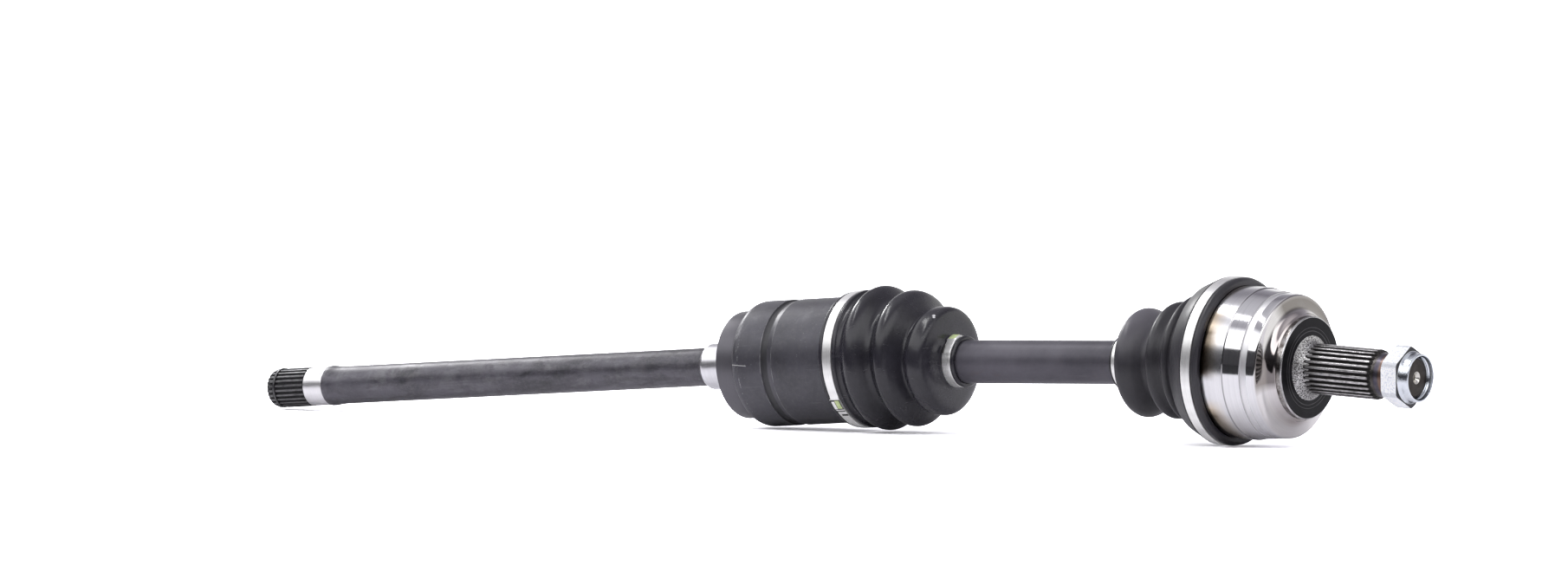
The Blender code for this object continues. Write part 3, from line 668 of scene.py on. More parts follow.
def can_material():
    """Phosphated can: cloudy, with rubbed corners, a scribed line and tiny pale flecks; painted
    light lifts the upper side and the corner, and painted shade darkens the neck behind the
    shoulder.
    """
    g = Surface("can_phosphate")
    cloud = g.noise(scale=30.0, detail=7.0, rough=0.68)
    fine = g.noise(scale=430.0, detail=5.0, rough=0.7)
    base = g.mottle(
        cloud, start=0.36, end=0.66, dark=(0.034, 0.0328, 0.0425), pale=(0.069, 0.0665, 0.0850)
    )
    grit = g.rise(fine, start=0.48, end=0.68)
    base = g.cover(base, grit, strength=0.35, paint=(0.085, 0.083, 0.09))
    # rubbing is strongest on the upper side and the corner towards the gearbox, where it also
    # stands for painted top light and a painted corner highlight
    smears = g.noise(scale=40.0, detail=9.0, rough=0.80, stretch=(1.0, 1.0, 0.7), distortion=0.8)
    breaks = g.noise(scale=190.0, detail=4.0, rough=0.7)
    rub_and_painted_light = g.mul(
        g.rise(smears, start=0.54, end=0.70), g.rise(breaks, start=0.38, end=0.62, low=0.10)
    )
    top = g.mul(g.rise(g.mul(g.z, 27.0), start=0.30, end=0.95, low=0.30), 0.40)
    corner = g.window(g.x, lo=-0.0446, hi=-0.0394, soft=0.0015)
    rub_and_painted_light = g.mul(rub_and_painted_light, g.add(top, g.mul(corner, 0.9)), clamp=True)
    specks = g.specks(scale=430.0, size=(0.045, 0.090), patches=40.0, spread=(0.44, 0.56))
    hairs = g.noise(stretch=(40.0, 900.0, 900.0), detail=2.0, rough=0.5)
    hair = g.rise(hairs, start=0.70, end=0.76, high=0.6)
    # a scribed line on the -Y side, sloping slightly along the axis
    line_z = g.add(g.add(g.z, -0.0003), g.mul(g.add(g.x, 0.0380), 0.10))
    line = g.window(line_z, lo=-0.00014, hi=0.00014, soft=0.00012)
    scribe = g.mul(
        g.window(g.x, lo=-0.0438, hi=-0.0318, soft=0.0002), g.mul(line, g.below(g.y, 0.0))
    )
    # two broken rings by the corner, the first a painted highlight on its rounding, then the two
    # lips of the shallow groove
    breaks = g.noise(scale=240.0, detail=5.0, rough=0.8)
    ring = g.mul(
        g.window(g.x, lo=-0.04330, hi=-0.04295, soft=0.00012),
        g.rise(breaks, start=0.34, end=0.50, low=0.15),
    )
    breaks = g.noise(scale=330.0, detail=4.0, rough=0.8)
    faint_ring = g.mul(
        g.window(g.x, lo=-0.0381, hi=-0.0378, soft=0.0002), g.rise(breaks, start=0.54, end=0.60)
    )
    lips = g.larger(
        g.window(g.x, lo=-0.02125, hi=-0.02095, soft=0.00012),
        g.window(g.x, lo=-0.01320, hi=-0.01285, soft=0.00012),
    )
    breaks = g.noise(scale=150.0, detail=5.0, rough=0.75)
    lips = g.mul(lips, g.rise(breaks, start=0.40, end=0.62))
    mark = g.larger(g.larger(rub_and_painted_light, g.mul(specks, 0.85)), g.mul(hair, 0.25), clamp=True)
    rings = g.larger(g.larger(ring, g.mul(faint_ring, 0.8)), g.mul(lips, 0.5))
    mark = g.larger(mark, rings, clamp=True)
    colour = g.mix(mark, base, (0.36, 0.355, 0.37))
    colour = g.cover(colour, scribe, strength=0.95, paint=(0.50, 0.50, 0.50))
    # painted shade: the neck behind the can's shoulder, in the gap by the shield ring, is painted
    # nearly black, and the groove is painted darker
    colour = g.mix(g.below(g.x, -0.0446), colour, (0.002, 0.002, 0.002))
    groove = g.window(g.x, lo=-0.0207, hi=-0.0170, soft=0.0003)
    colour = g.cover(colour, groove, strength=0.80, paint=(0.012, 0.012, 0.014))
    g.set(
        Base_Color=colour,
        Metallic=g.mixf(mark, 0.25, 0.65),
        Roughness=g.mixf(cloud, 0.34, 0.50),
        Specular_IOR_Level=0.8,
    )
    g.bump(g.noise(scale=1500.0, detail=3.0, rough=0.6), strength=0.14, distance=0.0002)
    g.bump(fine, strength=0.14, distance=0.0003)
    g.bump(scribe, strength=0.6, distance=0.0003)
    return g.mat


def shield_material():
    g = Surface("shield_grey")
    cloud = g.noise(scale=20.0, detail=3.0, rough=0.5)
    g.set(
        Base_Color=g.mix(cloud, (0.090, 0.087, 0.100), (0.150, 0.145, 0.163)),
        Metallic=0.45,
        Roughness=g.mixf(g.noise(scale=180.0, detail=5.0, rough=0.6), 0.30, 0.40),
    )
    g.bump(g.turning(), strength=0.12, distance=0.00015)
    return g.mat


def stub_piece(name, bm, mat, node="inner_housing", sharp=28.0):
    piece(name, bm, AT_TIP, mat, "gearbox_stub", node, sharp)


def build_gearbox_shaft():
    land = bright_steel("land_steel", base=(0.76, 0.75, 0.77), rough=0.33)
    land_mesh = revolve(rounded(LAND), 128, closed=True)
    stub_piece("gearbox_bright_land", land_mesh, land)
    collar = bright_steel("collar_steel", base=(0.72, 0.715, 0.745), rough=0.30)
    collar_mesh = revolve(rounded(COLLAR), 128, closed=True)
    stub_piece("gearbox_collar", collar_mesh, collar)
    dark = phosphate("shaft_phosphate", base=(0.041, 0.0386, 0.0480), rough=0.38, scuff=0.75)
    stub_piece("gearbox_shaft", revolve(rounded(GEARBOX_SHAFT), 144), dark)


def build_can():
    can = finished_object("inner_joint_can", revolve(rounded(CAN), 180), AT_CAN, can_material())
    half = math.degrees(math.asin(TRACK_HALF_WIDTH / TRACK_RADIUS))
    notch = TRACK_HALF_WIDTH / math.sin(math.radians(60.0))
    lobes = []
    for track in range(3):
        middle = 120.0 * track
        arc = [(middle - half + 2.0 * half * k / 12, TRACK_RADIUS) for k in range(13)]
        for degrees, r in arc + [(middle + 60.0, notch)]:
            angle = math.radians(degrees)
            lobes.append((r * math.cos(angle), r * math.sin(angle)))
    apply_booleans(can, [make_object("track_cutter", prism(lobes, *TRACK_SPAN), AT_CAN)])
    register(can, "gearbox_stub", "inner_housing")


def build_gearbox_end():
    """Both splines, the snap ring between them and the shield ring at the can."""
    black = spline_steel(
        "gearbox_spline_steel", root=10.9, tip=12.0, dark=(0.014, 0.014, 0.015),
        bright=(0.34, 0.34, 0.35), worn=0.45, crest_start=0.72,
    )
    for name, sections in (
        ("gearbox_spline_front", FRONT_SPLINE),
        ("gearbox_spline", MAIN_SPLINE),
    ):
        stub_piece(name, toothed(sections, GEARBOX_TEETH), black, sharp=40)
    ring = revolve(rounded(SNAP_RING), 96, closed=True, start=-70.0, sweep=320.0)
    ring_steel = spring_steel("snap_ring_steel", base=(0.10, 0.10, 0.105))
    stub_piece("gearbox_snap_ring", ring, ring_steel, "gearbox_circlip")
    shield = revolve(rounded(DUST_SHIELD), 160, closed=True)
    stub_piece("dust_shield_ring", shield, shield_material(), "dust_shield")


# ------------------------------------------------------------------ bar
DOME_RADIUS = 20.0  # sphere at the bar's end in the inner joint
DOME_STATIONS = (0.0, 2.0, 4.0, 6.0, 7.5, 9.0, 10.2, 11.2)
# (x from the inner joint centre, radius[, fillet])
BAR = [
    (-16.3, 11.4), (-16.0, 11.5), (-11.4, 11.5), (-11.4, 10.6), (-9.6, 10.6), (-9.6, 11.5),
    (10.0, 11.5, 0.5), (12.0, 10.5, 1.0), (57.0, 10.5, 2.0), (62.0, 12.85, 2.0),
    (BAR_LENGTH - 66.0, 12.85, 2.0), (BAR_LENGTH - 60.0, 10.5, 2.0),
    (BAR_LENGTH - 15.0, 10.5, 0.5), (BAR_LENGTH - 13.6, 11.0, 0.5),
    (BAR_LENGTH + 12.5, 11.0), (BAR_LENGTH + 12.5, 10.1), (BAR_LENGTH + 14.4, 10.1),
    (BAR_LENGTH + 14.4, 11.0), (BAR_LENGTH + 15.2, 11.0, 0.3), (BAR_LENGTH + 16.2, 10.0, 0.3),
    (BAR_LENGTH + 16.2, 0.0),
]


def bar_material():
    """Grey phosphate with long scratches and a little rust underneath."""
    g = Surface("bar_phosphate")
    cloud = g.noise(scale=24.0, detail=6.0, rough=0.62)
    fine = g.noise(scale=460.0, detail=5.0, rough=0.7)
    base = g.mottle(
        cloud, start=0.34, end=0.68, dark=(0.070, 0.0665, 0.081), pale=(0.118, 0.112, 0.134)
    )
    rust_noise = g.noise(stretch=(34.0, 150.0, 150.0), detail=6.0, rough=0.7)
    underside = g.rise(g.mul(g.z, -60.0), start=0.0, end=0.6)
    rust = g.mul(g.rise(rust_noise, start=0.56, end=0.70), underside)
    base = g.cover(base, rust, strength=0.45, paint=(0.115, 0.080, 0.066))
    scratches = g.noise(stretch=(28.0, 700.0, 700.0), detail=3.0, rough=0.6)
    scratch = g.rise(scratches, start=0.66, end=0.74)
    specks = g.specks(scale=480.0, size=(0.04, 0.08), patches=46.0, spread=(0.5, 0.62))
    mark = g.larger(g.mul(scratch, 0.22), g.mul(specks, 0.7))
    g.set(
        Base_Color=g.mix(mark, base, (0.24, 0.24, 0.25)),
        Metallic=0.3,
        Roughness=g.mixf(cloud, 0.36, 0.48),
        Specular_IOR_Level=0.35,
    )
    g.bump(g.noise(scale=1700.0, detail=3.0, rough=0.6), strength=0.22, distance=0.0002)
    g.bump(fine, strength=0.2, distance=0.0004)
    return g.mat


def build_bar():
    dome = [(-math.sqrt(DOME_RADIUS**2 - r * r), r) for r in DOME_STATIONS]
    bar = revolve(dome + rounded(BAR), 120)
    piece("bar_shaft", bar, AT_BAR, bar_material(), "axle_shaft", "axle_shaft")


# ------------------------------------------------------------------ bell and wheel stub
# outlines are (x from the outer joint centre, radius[, fillet])
BELL_OUTSIDE = [
    (-24.0, 39.3), (-24.0, 43.6, 0.4), (-23.2, 44.4, 0.4), (-9.6, 44.4), (-9.3, 44.7, 0.15),
    (5.0, 44.7, 0.25), (5.45, 44.05, 0.15), (16.1, 43.1, 0.2), (16.5, 42.1, 0.25),
    (20.4, 42.05, 0.2), (20.9, 42.65, 0.2), (26.0, 42.15, 0.5), (26.8, 41.3, 0.35),
    (27.0, 39.4, 1.0), (27.4, 37.2, 1.5), (28.1, 35.1, 1.5), (29.2, 33.2, 1.2),
    (30.6, 31.9, 0.9), (32.2, 31.1, 0.4), (32.6, 30.5, 0.2), (33.1, 29.9, 0.2), (33.1, 26.0),
]
BELL_END = [(33.4, 17.0), (33.4, 0.0)]
CAVITY_RADIUS = 32.2  # spherical hollow
CAVITY_ANGLES = [6.0 * k for k in range(19)] + [112.0, 116.0]
GROOVE_PATH = 29.5  # radius of the ball grooves' centre line
GROOVE_RADIUS = 11.4
GROOVE_ANGLES = (-66.0, 42.0)  # degrees along the path, from straight outwards
GROOVE_STEPS = 18
GROOVE_SIDES = 24
GROOVES = 6
SHOULDER = [
    (32.9, 0.0), (32.9, 29.9, 0.2), (33.2, 30.2, 0.2), (36.6, 30.2, 0.3), (37.1, 29.7, 0.2),
    (37.1, 19.4, 0.2), (37.4, 18.9, 0.3), (37.4, 0.0),
]
STUB_ROOT = [
    (36.1, 0.0), (36.1, 19.3), (37.25, 19.2, 0.3), (37.9, 17.6, 0.6), (38.9, 15.9, 0.8),
    (40.4, 14.75, 0.8), (42.4, 13.95, 0.8), (45.0, 13.45), (45.0, 0.0),
]
WHEEL_TEETH = 27
WHEEL_SPLINE_TIP = 14.75
WHEEL_SPLINE_ROOT = 13.2
# (x, root radius, tip radius)
WHEEL_SPLINE = [
    (40.2, 13.6, 13.9), (41.8, 13.5, 14.3), (44.0, 13.3, WHEEL_SPLINE_TIP),
    (85.6, WHEEL_SPLINE_ROOT, WHEEL_SPLINE_TIP), (86.8, WHEEL_SPLINE_ROOT, 14.4),
    (87.9, 13.1, 13.4),
]
NECK = [
    (80.0, 0.0), (80.0, 12.8), (87.7, 13.2, 0.3), (89.0, 12.95, 0.5), (95.0, 12.9, 0.5),
    (96.4, 11.8, 0.5),
]
STUB_THREAD_TURN = [(0.0, 11.25), (0.55, 12.0), (0.8, 12.0), (1.35, 11.25)]
# the end of the stub, with the centre hole drilled into it
STUB_END = [
    (110.5, 11.6), (111.4, 10.9, 0.4), (111.5, 10.2), (111.5, 3.4, 0.3), (110.6, 2.6),
    (109.4, 1.7, 0.3), (105.7, 1.6), (104.9, 0.0),
]


def bell_material():
    """Bright turned steel with straw and brown heat tint by the boot and on the fillet."""
    g = Surface("bell_steel")
    rings = g.turning()
    smear = g.noise(scale=70.0, detail=5.0, rough=0.6)
    steel = g.mottle(
        rings, start=0.3, end=0.7, dark=(0.70, 0.695, 0.715), pale=(0.80, 0.795, 0.815)
    )
    # degrees round the axis, from -Y towards +Z
    turn = g.mul(g.math("ARCTAN2", g.z, g.mul(g.y, -1.0)), 180.0 / math.pi)
    # wavering distance from the edge of the boot
    wobble = g.mul(g.sub(g.noise(scale=55.0, detail=4.0, rough=0.6), 0.5), 0.010)
    gap = g.add(g.add(g.x, 0.0100), wobble)

    def burn(lo, hi, soft, reach):
        side = g.window(turn, lo, hi, soft)
        fade = g.ramp(g.math("DIVIDE", gap, reach), [(0.0, 1.0), (0.35, 0.75), (1.0, 0.0)])
        return g.mul(side, fade)

    tan = g.larger(
        burn(lo=0.0, hi=40.0, soft=10.0, reach=0.0130),
        burn(lo=-76.0, hi=-36.0, soft=10.0, reach=0.0150),
        clamp=True,
    )
    tan = g.larger(tan, g.mul(burn(lo=62.0, hi=84.0, soft=8.0, reach=0.006), 0.5))
    steel = g.cover(steel, tan, strength=0.80, paint=(0.62, 0.47, 0.28))
    deep = g.larger(
        burn(lo=-6.0, hi=25.0, soft=6.0, reach=0.0105),
        burn(lo=-70.0, hi=-42.0, soft=8.0, reach=0.0125),
        clamp=True,
    )
    steel = g.cover(steel, deep, strength=1.0, paint=(0.030, 0.019, 0.012))
    # tints on the fillet and the face towards the wheel, with painted dark reflections laid over
    # the fillet
    patches = g.rise(g.noise(scale=26.0, detail=3.0, rough=0.5), start=0.3, end=0.62, low=0.30)
    fillet = g.mul(g.window(g.x, lo=0.0298, hi=0.0335, soft=0.0020), patches)
    steel = g.cover(steel, fillet, strength=0.55, paint=(0.42, 0.33, 0.29))
    # painted dark reflection across the upper part of the fillet
    shade = g.mul(
        g.window(turn, lo=66.0, hi=140.0, soft=14.0),
        g.window(g.x, lo=0.02700, hi=0.02860, soft=0.0008),
    )
    steel = g.cover(steel, shade, strength=0.86, paint=(0.050, 0.046, 0.050))
    # painted dark reflection on the fillet and face, on the viewer's side
    front_dark_reflection = g.mul(
        g.window(turn, lo=-14.0, hi=10.0, soft=9.0),
        g.window(g.x, lo=0.02690, hi=0.03260, soft=0.0008),
    )
    steel = g.cover(steel, front_dark_reflection, strength=0.80, paint=(0.075, 0.060, 0.056))
    straw = g.window(g.x, lo=0.0268, hi=0.0285, soft=0.0012)
    steel = g.cover(steel, straw, strength=0.20, paint=(0.72, 0.64, 0.54))
    smears = g.rise(smear, start=0.52, end=0.74)
    steel = g.cover(steel, smears, strength=0.12, paint=(0.50, 0.50, 0.52))
    pits = g.specks(
        scale=330.0, size=(0.030, 0.060), patches=45.0, spread=(0.52, 0.60),
        detail=2.0, rough=0.5,
    )
    steel = g.cover(steel, pits, strength=0.5, paint=(0.92, 0.92, 0.93))
    steps = g.larger(
        g.window(g.x, lo=0.00505, hi=0.0054, soft=0.00015),
        g.window(g.x, lo=0.0162, hi=0.0165, soft=0.00015),
    )
    steel = g.cover(steel, steps, strength=0.7, paint=(0.22, 0.21, 0.22))
    coarse_lines = g.vec(g.mul(g.x, 900.0), g.mul(g.radius(), 900.0), 0.0)
    coarse = g.noise(detail=2.0, rough=0.5, vector=coarse_lines)
    # the widest band by the boot is duller, the narrow groove is matt and paler
    wide_band = g.below(g.x, 0.0051)
    groove = g.window(g.x, lo=0.0163, hi=0.0206, soft=0.0001)
    rough = g.mixf(rings, 0.070, 0.110)
    rough = g.mixf(wide_band, rough, g.mixf(smear, 0.16, 0.27))
    rough = g.mixf(groove, rough, 0.42)
    steel = g.cover(steel, groove, strength=0.6, paint=(0.86, 0.855, 0.87))
    g.set(Base_Color=steel, Metallic=1.0, Roughness=rough)
    g.bump(rings, strength=0.02, distance=0.00005)
    g.bump(coarse, strength=0.012, distance=0.00005)
    return g.mat


def groove_cutter(degrees):
    """A round bar bent along one ball groove of the bell."""
    bm = bmesh.new()
    first, last = GROOVE_ANGLES
    rings = []
    for k in range(GROOVE_STEPS + 1):
        t = math.radians(first + (last - first) * k / GROOVE_STEPS)
        outward = Vector((math.sin(t), math.cos(t), 0.0))
        ring = []
        for j in range(GROOVE_SIDES):
            a = 2 * math.pi * (j + 0.5) / GROOVE_SIDES
            point = outward * (GROOVE_PATH + GROOVE_RADIUS * math.cos(a))
            point += Vector((0, 0, 1)) * (GROOVE_RADIUS * math.sin(a))
            ring.append(bm.verts.new(point * MM))
        rings.append(ring)
    for a, b in zip(rings, rings[1:]):
        bridge(bm, a, b)
    bm.faces.new(rings[0])
    bm.faces.new(rings[-1])
    turn = Matrix.Rotation(math.radians(degrees), 4, "X")
    return make_object("groove_cutter", bm, AT_BELL @ turn)


def build_bell():
    steel = bell_material()
    cavity = []
    for degrees in CAVITY_ANGLES:
        angle = math.radians(degrees)
        cavity.append((CAVITY_RADIUS * math.cos(angle), CAVITY_RADIUS * math.sin(angle)))
    profile = rounded(BELL_OUTSIDE, 5) + BELL_END + cavity
    bell = finished_object("bell_shell", revolve(profile, 200, closed=True), AT_BELL, steel)
    apply_booleans(bell, [groove_cutter(360.0 / GROOVES * k) for k in range(GROOVES)])
    register(bell, "wheel_stub", "outer_bell")


def shoulder_material():
    """Black face with fine rings, two pale lines, a scuffed wall and a bright bare-metal rim that
    also carries a painted edge highlight.
    """
    g = Surface("shoulder_black")
    r = g.radius()
    rings = g.noise(detail=2.0, rough=0.5, vector=g.vec(g.mul(r, 1300.0), g.mul(g.x, 800.0), 0.0))
    mottle = g.noise(scale=90.0, detail=6.0, rough=0.65)
    face = g.above(g.x, 0.03695)
    colour = g.mottle(
        mottle, start=0.35, end=0.7, dark=(0.006, 0.006, 0.007), pale=(0.015, 0.0145, 0.017)
    )
    lines = g.larger(
        g.window(r, lo=0.02150, hi=0.02165, soft=0.00022),
        g.window(r, lo=0.0236, hi=0.0237, soft=0.00015),
    )
    colour = g.cover(colour, g.mul(lines, face), strength=0.55, paint=(0.20, 0.20, 0.205))
    scuffs = g.noise(scale=210.0, detail=6.0, rough=0.75)
    wall = g.mottle(
        scuffs, start=0.40, end=0.62, dark=(0.10, 0.085, 0.08), pale=(0.46, 0.44, 0.43)
    )
    side = g.below(g.x, 0.0363)
    colour = g.mix(side, colour, wall)
    # bare-metal rim, painted bright as an edge highlight
    rim_metal_and_highlight = g.mul(
        g.window(r, lo=0.0295, hi=0.0304, soft=0.0001),
        g.window(g.x, lo=0.0364, hi=0.0372, soft=0.0001),
    )
    breaks = g.rise(g.noise(scale=75.0, detail=5.0, rough=0.7), start=0.30, end=0.60, low=0.25)
    colour = g.mix(g.mul(rim_metal_and_highlight, breaks), colour, (0.74, 0.73, 0.74))
    metal = g.larger(side, rim_metal_and_highlight)
    g.set(
        Base_Color=colour,
        Metallic=g.mixf(metal, 0.0, 1.0),
        Roughness=g.mixf(metal, g.mixf(mottle, 0.26, 0.38), 0.26),
        Specular_IOR_Level=g.mixf(metal, 0.10, 0.5),
    )
    g.bump(rings, strength=0.12, distance=0.0001)
    return g.mat


def root_material():
    """Dark steel thick with bright flecks."""
    g = Surface("stub_root_steel")
    grit = g.noise(scale=1250.0, detail=6.0, rough=0.8)
    patches = g.noise(scale=120.0, detail=4.0, rough=0.6)
    fleck = g.rise(grit, start=0.44, end=0.56)
    amount = g.mul(fleck, g.rise(patches, start=0.3, end=0.6, low=0.45))
    g.set(
        Base_Color=g.mix(amount, (0.060, 0.056, 0.055), (0.86, 0.85, 0.85)),
        Metallic=0.9,
        Roughness=g.mixf(fleck, 0.45, 0.30),
    )
    g.bump(grit, strength=0.5, distance=0.0004)
    return g.mat


def neck_material():
    """Dark steel with copper and blue bands, brown thread and a centre hole painted pale as a
    reflection.
    """
    g = Surface("neck_steel")
    mottle = g.noise(scale=260.0, detail=5.0, rough=0.65)
    colour = g.mottle(
        mottle, start=0.35, end=0.7, dark=(0.040, 0.036, 0.034), pale=(0.13, 0.12, 0.115)
    )
    copper = g.window(g.x, lo=0.0935, hi=0.0956, soft=0.0012)
    colour = g.cover(colour, copper, strength=0.70, paint=(0.22, 0.135, 0.105))
    blue = g.window(g.x, lo=0.0904, hi=0.0922, soft=0.0010)
    colour = g.cover(colour, blue, strength=0.35, paint=(0.12, 0.11, 0.18))
    brown = g.window(g.x, lo=0.1020, hi=0.1220, soft=0.001)
    colour = g.cover(colour, brown, strength=0.75, paint=(0.022, 0.017, 0.013))
    # painted reflection: the centre hole is painted pale
    hole_painted_reflection = g.mul(g.below(g.radius(), 0.0036), g.above(g.x, 0.104))
    colour = g.mix(hole_painted_reflection, colour, (0.70, 0.68, 0.64))
    g.set(
        Base_Color=colour,
        Metallic=0.85,
        Roughness=g.mixf(hole_painted_reflection, g.mixf(mottle, 0.24, 0.38), 0.18),
    )
    g.bump(g.turning(), strength=0.10, distance=0.0001)
    return g.mat


def build_wheel_stub():
    def add(name, bm, mat, sharp=28.0):
        piece(name, bm, AT_BELL, mat, "wheel_stub", "outer_bell", sharp)

    add("bearing_shoulder", revolve(rounded(SHOULDER), 180), shoulder_material())
    add("stub_root", revolve(rounded(STUB_ROOT), 160), root_material())
    spline_mat = spline_steel(
        "wheel_spline_steel", root=WHEEL_SPLINE_ROOT, tip=WHEEL_SPLINE_TIP,
        dark=(0.011, 0.010, 0.0095), bright=(0.76, 0.74, 0.75), worn=0.92, crest_start=0.76,
    )
    add("wheel_spline", toothed(WHEEL_SPLINE, WHEEL_TEETH), spline_mat, sharp=40)
    thread = thread_line(start=96.9, end=109.6, turn=STUB_THREAD_TURN)
    neck = revolve(rounded(NECK) + thread + rounded(STUB_END), 128)
    add("stub_neck_and_thread", neck, neck_material())


# ------------------------------------------------------------------ nut
NUT_ACROSS_FLATS = 32.0
NUT_TURN = 35  # degrees of the first corner from +Y
NUT_SPAN = (97.3, 108.2)  # x of the hexagon
NUT_BORE = 12.35
# (x from the outer joint centre, radius[, fillet])
NUT_ROUND = [
    (96.3, 0.0), (96.3, 15.6), (98.9, 19.4), (107.0, 19.4), (109.3, 15.7), (109.3, 0.0),
]
NUT_COLLAR = [
    (102.0, 0.0), (102.0, 13.0), (107.5, 15.7), (108.4, 15.1, 0.8), (109.8, 14.3, 0.8),
    (113.7, 14.2, 0.5), (114.5, 13.75, 0.4), (114.5, 12.0, 0.3), (114.5, 0.0),
]
NUT_THREAD_TURN = [(0.0, NUT_BORE), (0.65, 13.05), (0.85, 13.05)]


def zinc_material():
    """Pale grainy flats with a faint painted glow, a shiny plated collar and bore, and an end
    face painted black as shade.
    """
    g = Surface("nut_zinc")
    blast = g.noise(scale=2300.0, detail=4.0, rough=0.7)
    cloud = g.noise(scale=140.0, detail=4.0, rough=0.6)
    r = g.radius()
    collar = g.window(g.x, lo=0.10835, hi=0.1160, soft=0.0002)
    inside = g.below(r, 0.01365)
    # painted shade: the end face outside the collar is painted nearly black
    end_face_painted_shade = g.mul(g.above(g.x, 0.1079), g.above(r, 0.01535))
    shiny = g.larger(collar, inside, clamp=True)
    grain = g.noise(scale=1150.0, detail=3.0, rough=0.75)
    flats = g.mottle(
        grain, start=0.40, end=0.58, dark=(0.60, 0.62, 0.68), pale=(0.98, 0.985, 1.0)
    )
    # the flats are painted darker near the hexagon's corners
    worn = g.window(r, lo=0.01780, hi=0.01860, soft=0.0003)
    flats = g.cover(flats, worn, strength=0.55, paint=(0.34, 0.36, 0.41))
    plated = g.mottle(
        cloud, start=0.35, end=0.7, dark=(0.66, 0.70, 0.76), pale=(0.82, 0.86, 0.91)
    )
    # the flats glow faintly as painted light; the collar, bore and painted-shade end face do not
    g.set(
        Base_Color=g.mix(end_face_painted_shade, g.mix(shiny, flats, plated), (0.035, 0.035, 0.040)),
        Metallic=g.mixf(shiny, 0.0, 1.0),
        Emission_Color=(0.95, 0.97, 1.0),
        Emission_Strength=g.mul(g.mixf(shiny, 0.15, 0.0), g.sub(1.0, end_face_painted_shade)),
        Roughness=g.mixf(shiny, 0.62, 0.13),
    )
    g.bump(blast, strength=0.25, distance=0.0003)
    return g.mat


def build_nut():
    corner = NUT_ACROSS_FLATS / math.sqrt(3.0)
    hexagon = []
    for k in range(6):
        angle = math.radians(NUT_TURN + 60 * k)
        hexagon.append((corner * math.cos(angle), corner * math.sin(angle)))
    nut = finished_object("nut_body", prism(hexagon, *NUT_SPAN), AT_BELL, zinc_material())
    bore = (
        [(96.0, 0.0), (96.0, NUT_BORE), (96.8, NUT_BORE)]
        + thread_line(start=97.7, end=112.0, turn=NUT_THREAD_TURN)
        + [(112.6, 12.5), (114.8, 13.1), (115.4, 13.3), (115.4, 0.0)]
    )
    for name, outline, operation in (
        ("nut_round", NUT_ROUND, "INTERSECT"),
        ("collar_union", rounded(NUT_COLLAR), "UNION"),
        ("nut_bore", bore, "DIFFERENCE"),
    ):
        apply_booleans(nut, [make_object(name, revolve(outline, 120), AT_BELL)], operation)
    bevel = nut.modifiers.new("edges", "BEVEL")
    bevel.width = 0.0003
    bevel.segments = 2
    bevel.limit_method = "ANGLE"
    bevel.angle_limit = math.radians(40)
    apply_modifiers(nut, sharp=30.0)
    register(nut, "axle_nut", "axle_nut")


# ------------------------------------------------------------------ clamps
LEAF_RISE = 0.28  # the second leaf lies this much higher
LEAF_DEGREES = 34.0


def clamp_material():
    """Stainless strap brushed round its length, with a faint glow painted on as light."""
    g = Surface("clamp_stainless")
    turn = g.math("ARCTAN2", g.y, g.z)
    brush_lines = g.vec(g.mul(g.x, 1400.0), g.mul(turn, 2.0), 0.0)
    brush = g.noise(detail=3.0, rough=0.6, vector=brush_lines)
    waves = g.noise(detail=2.0, rough=0.5, vector=g.vec(0.0, g.mul(turn, 5.0), 0.0))
    colour = g.mottle(
        waves, start=0.36, end=0.64, dark=(0.78, 0.775, 0.77), pale=(0.93, 0.925, 0.915)
    )
    lines = g.fall(brush, start=0.35, end=0.60)
    colour = g.cover(colour, lines, strength=0.22, paint=(0.40, 0.40, 0.39))
    # the faint emission is painted light
    g.set(
        Base_Color=colour,
        Metallic=1.0,
        Roughness=g.mixf(brush, 0.32, 0.42),
        Emission_Color=(0.94, 0.94, 0.96),
        Emission_Strength=0.10,
    )
    g.bump(waves, strength=0.03, distance=0.0002)
    return g.mat


def paint_material():
    """Yellow-green paint mark."""
    g = Surface("inspection_paint")
    mottle = g.noise(scale=500.0, detail=5.0, rough=0.6)
    colour = g.mottle(
        mottle, start=0.35, end=0.65, dark=(0.46, 0.58, 0.24), pale=(0.68, 0.76, 0.42)
    )
    g.set(Base_Color=colour, Metallic=0.0, Roughness=0.55)
    g.bump(mottle, strength=0.3, distance=0.0003)
    return g.mat


def gap_shade_material():
    # painted shade: black plates stand where the lock's gaps and slots would hold shade
    g = Surface("lock_gap_painted_shade")
    mottle = g.noise(scale=300.0, detail=4.0, rough=0.6)
    g.set(
        Base_Color=g.mix(mottle, (0.004, 0.004, 0.004), (0.012, 0.012, 0.012)),
        Roughness=0.5,
    )
    return g.mat


def strap_mesh(x_span, radii, joint, seg):
    """A strap whose crimped joint is (degrees, half width, rise); a second leaf lies over the
    strap on one side of it."""
    x0, x1 = x_span
    r0, r1 = radii
    joint_angle, half, rise = joint

    def shape(degrees, x, r):
        off = (degrees - joint_angle + 180.0) % 360.0 - 180.0
        if r < r0 + 0.2:
            return x, r
        edge = smooth((half - abs(off)) / 1.2)
        leaf = LEAF_RISE if half <= off < half + LEAF_DEGREES else 0.0
        return x, r + rise * edge + leaf * (1.0 - edge)

    corners = rounded([(x0, r0), (x0, r1, 0.22), (x1, r1, 0.22), (x1, r0)], 3)
    line = []
    for a, b in zip(corners, corners[1:]):
        line.append(a)
        if abs(a[0] - b[0]) > 2.0:
            line += [(a[0] + (b[0] - a[0]) * k / 8, a[1]) for k in range(1, 8)]
    line.append(corners[-1])
    return revolve(line, seg, closed=True, shape=shape)


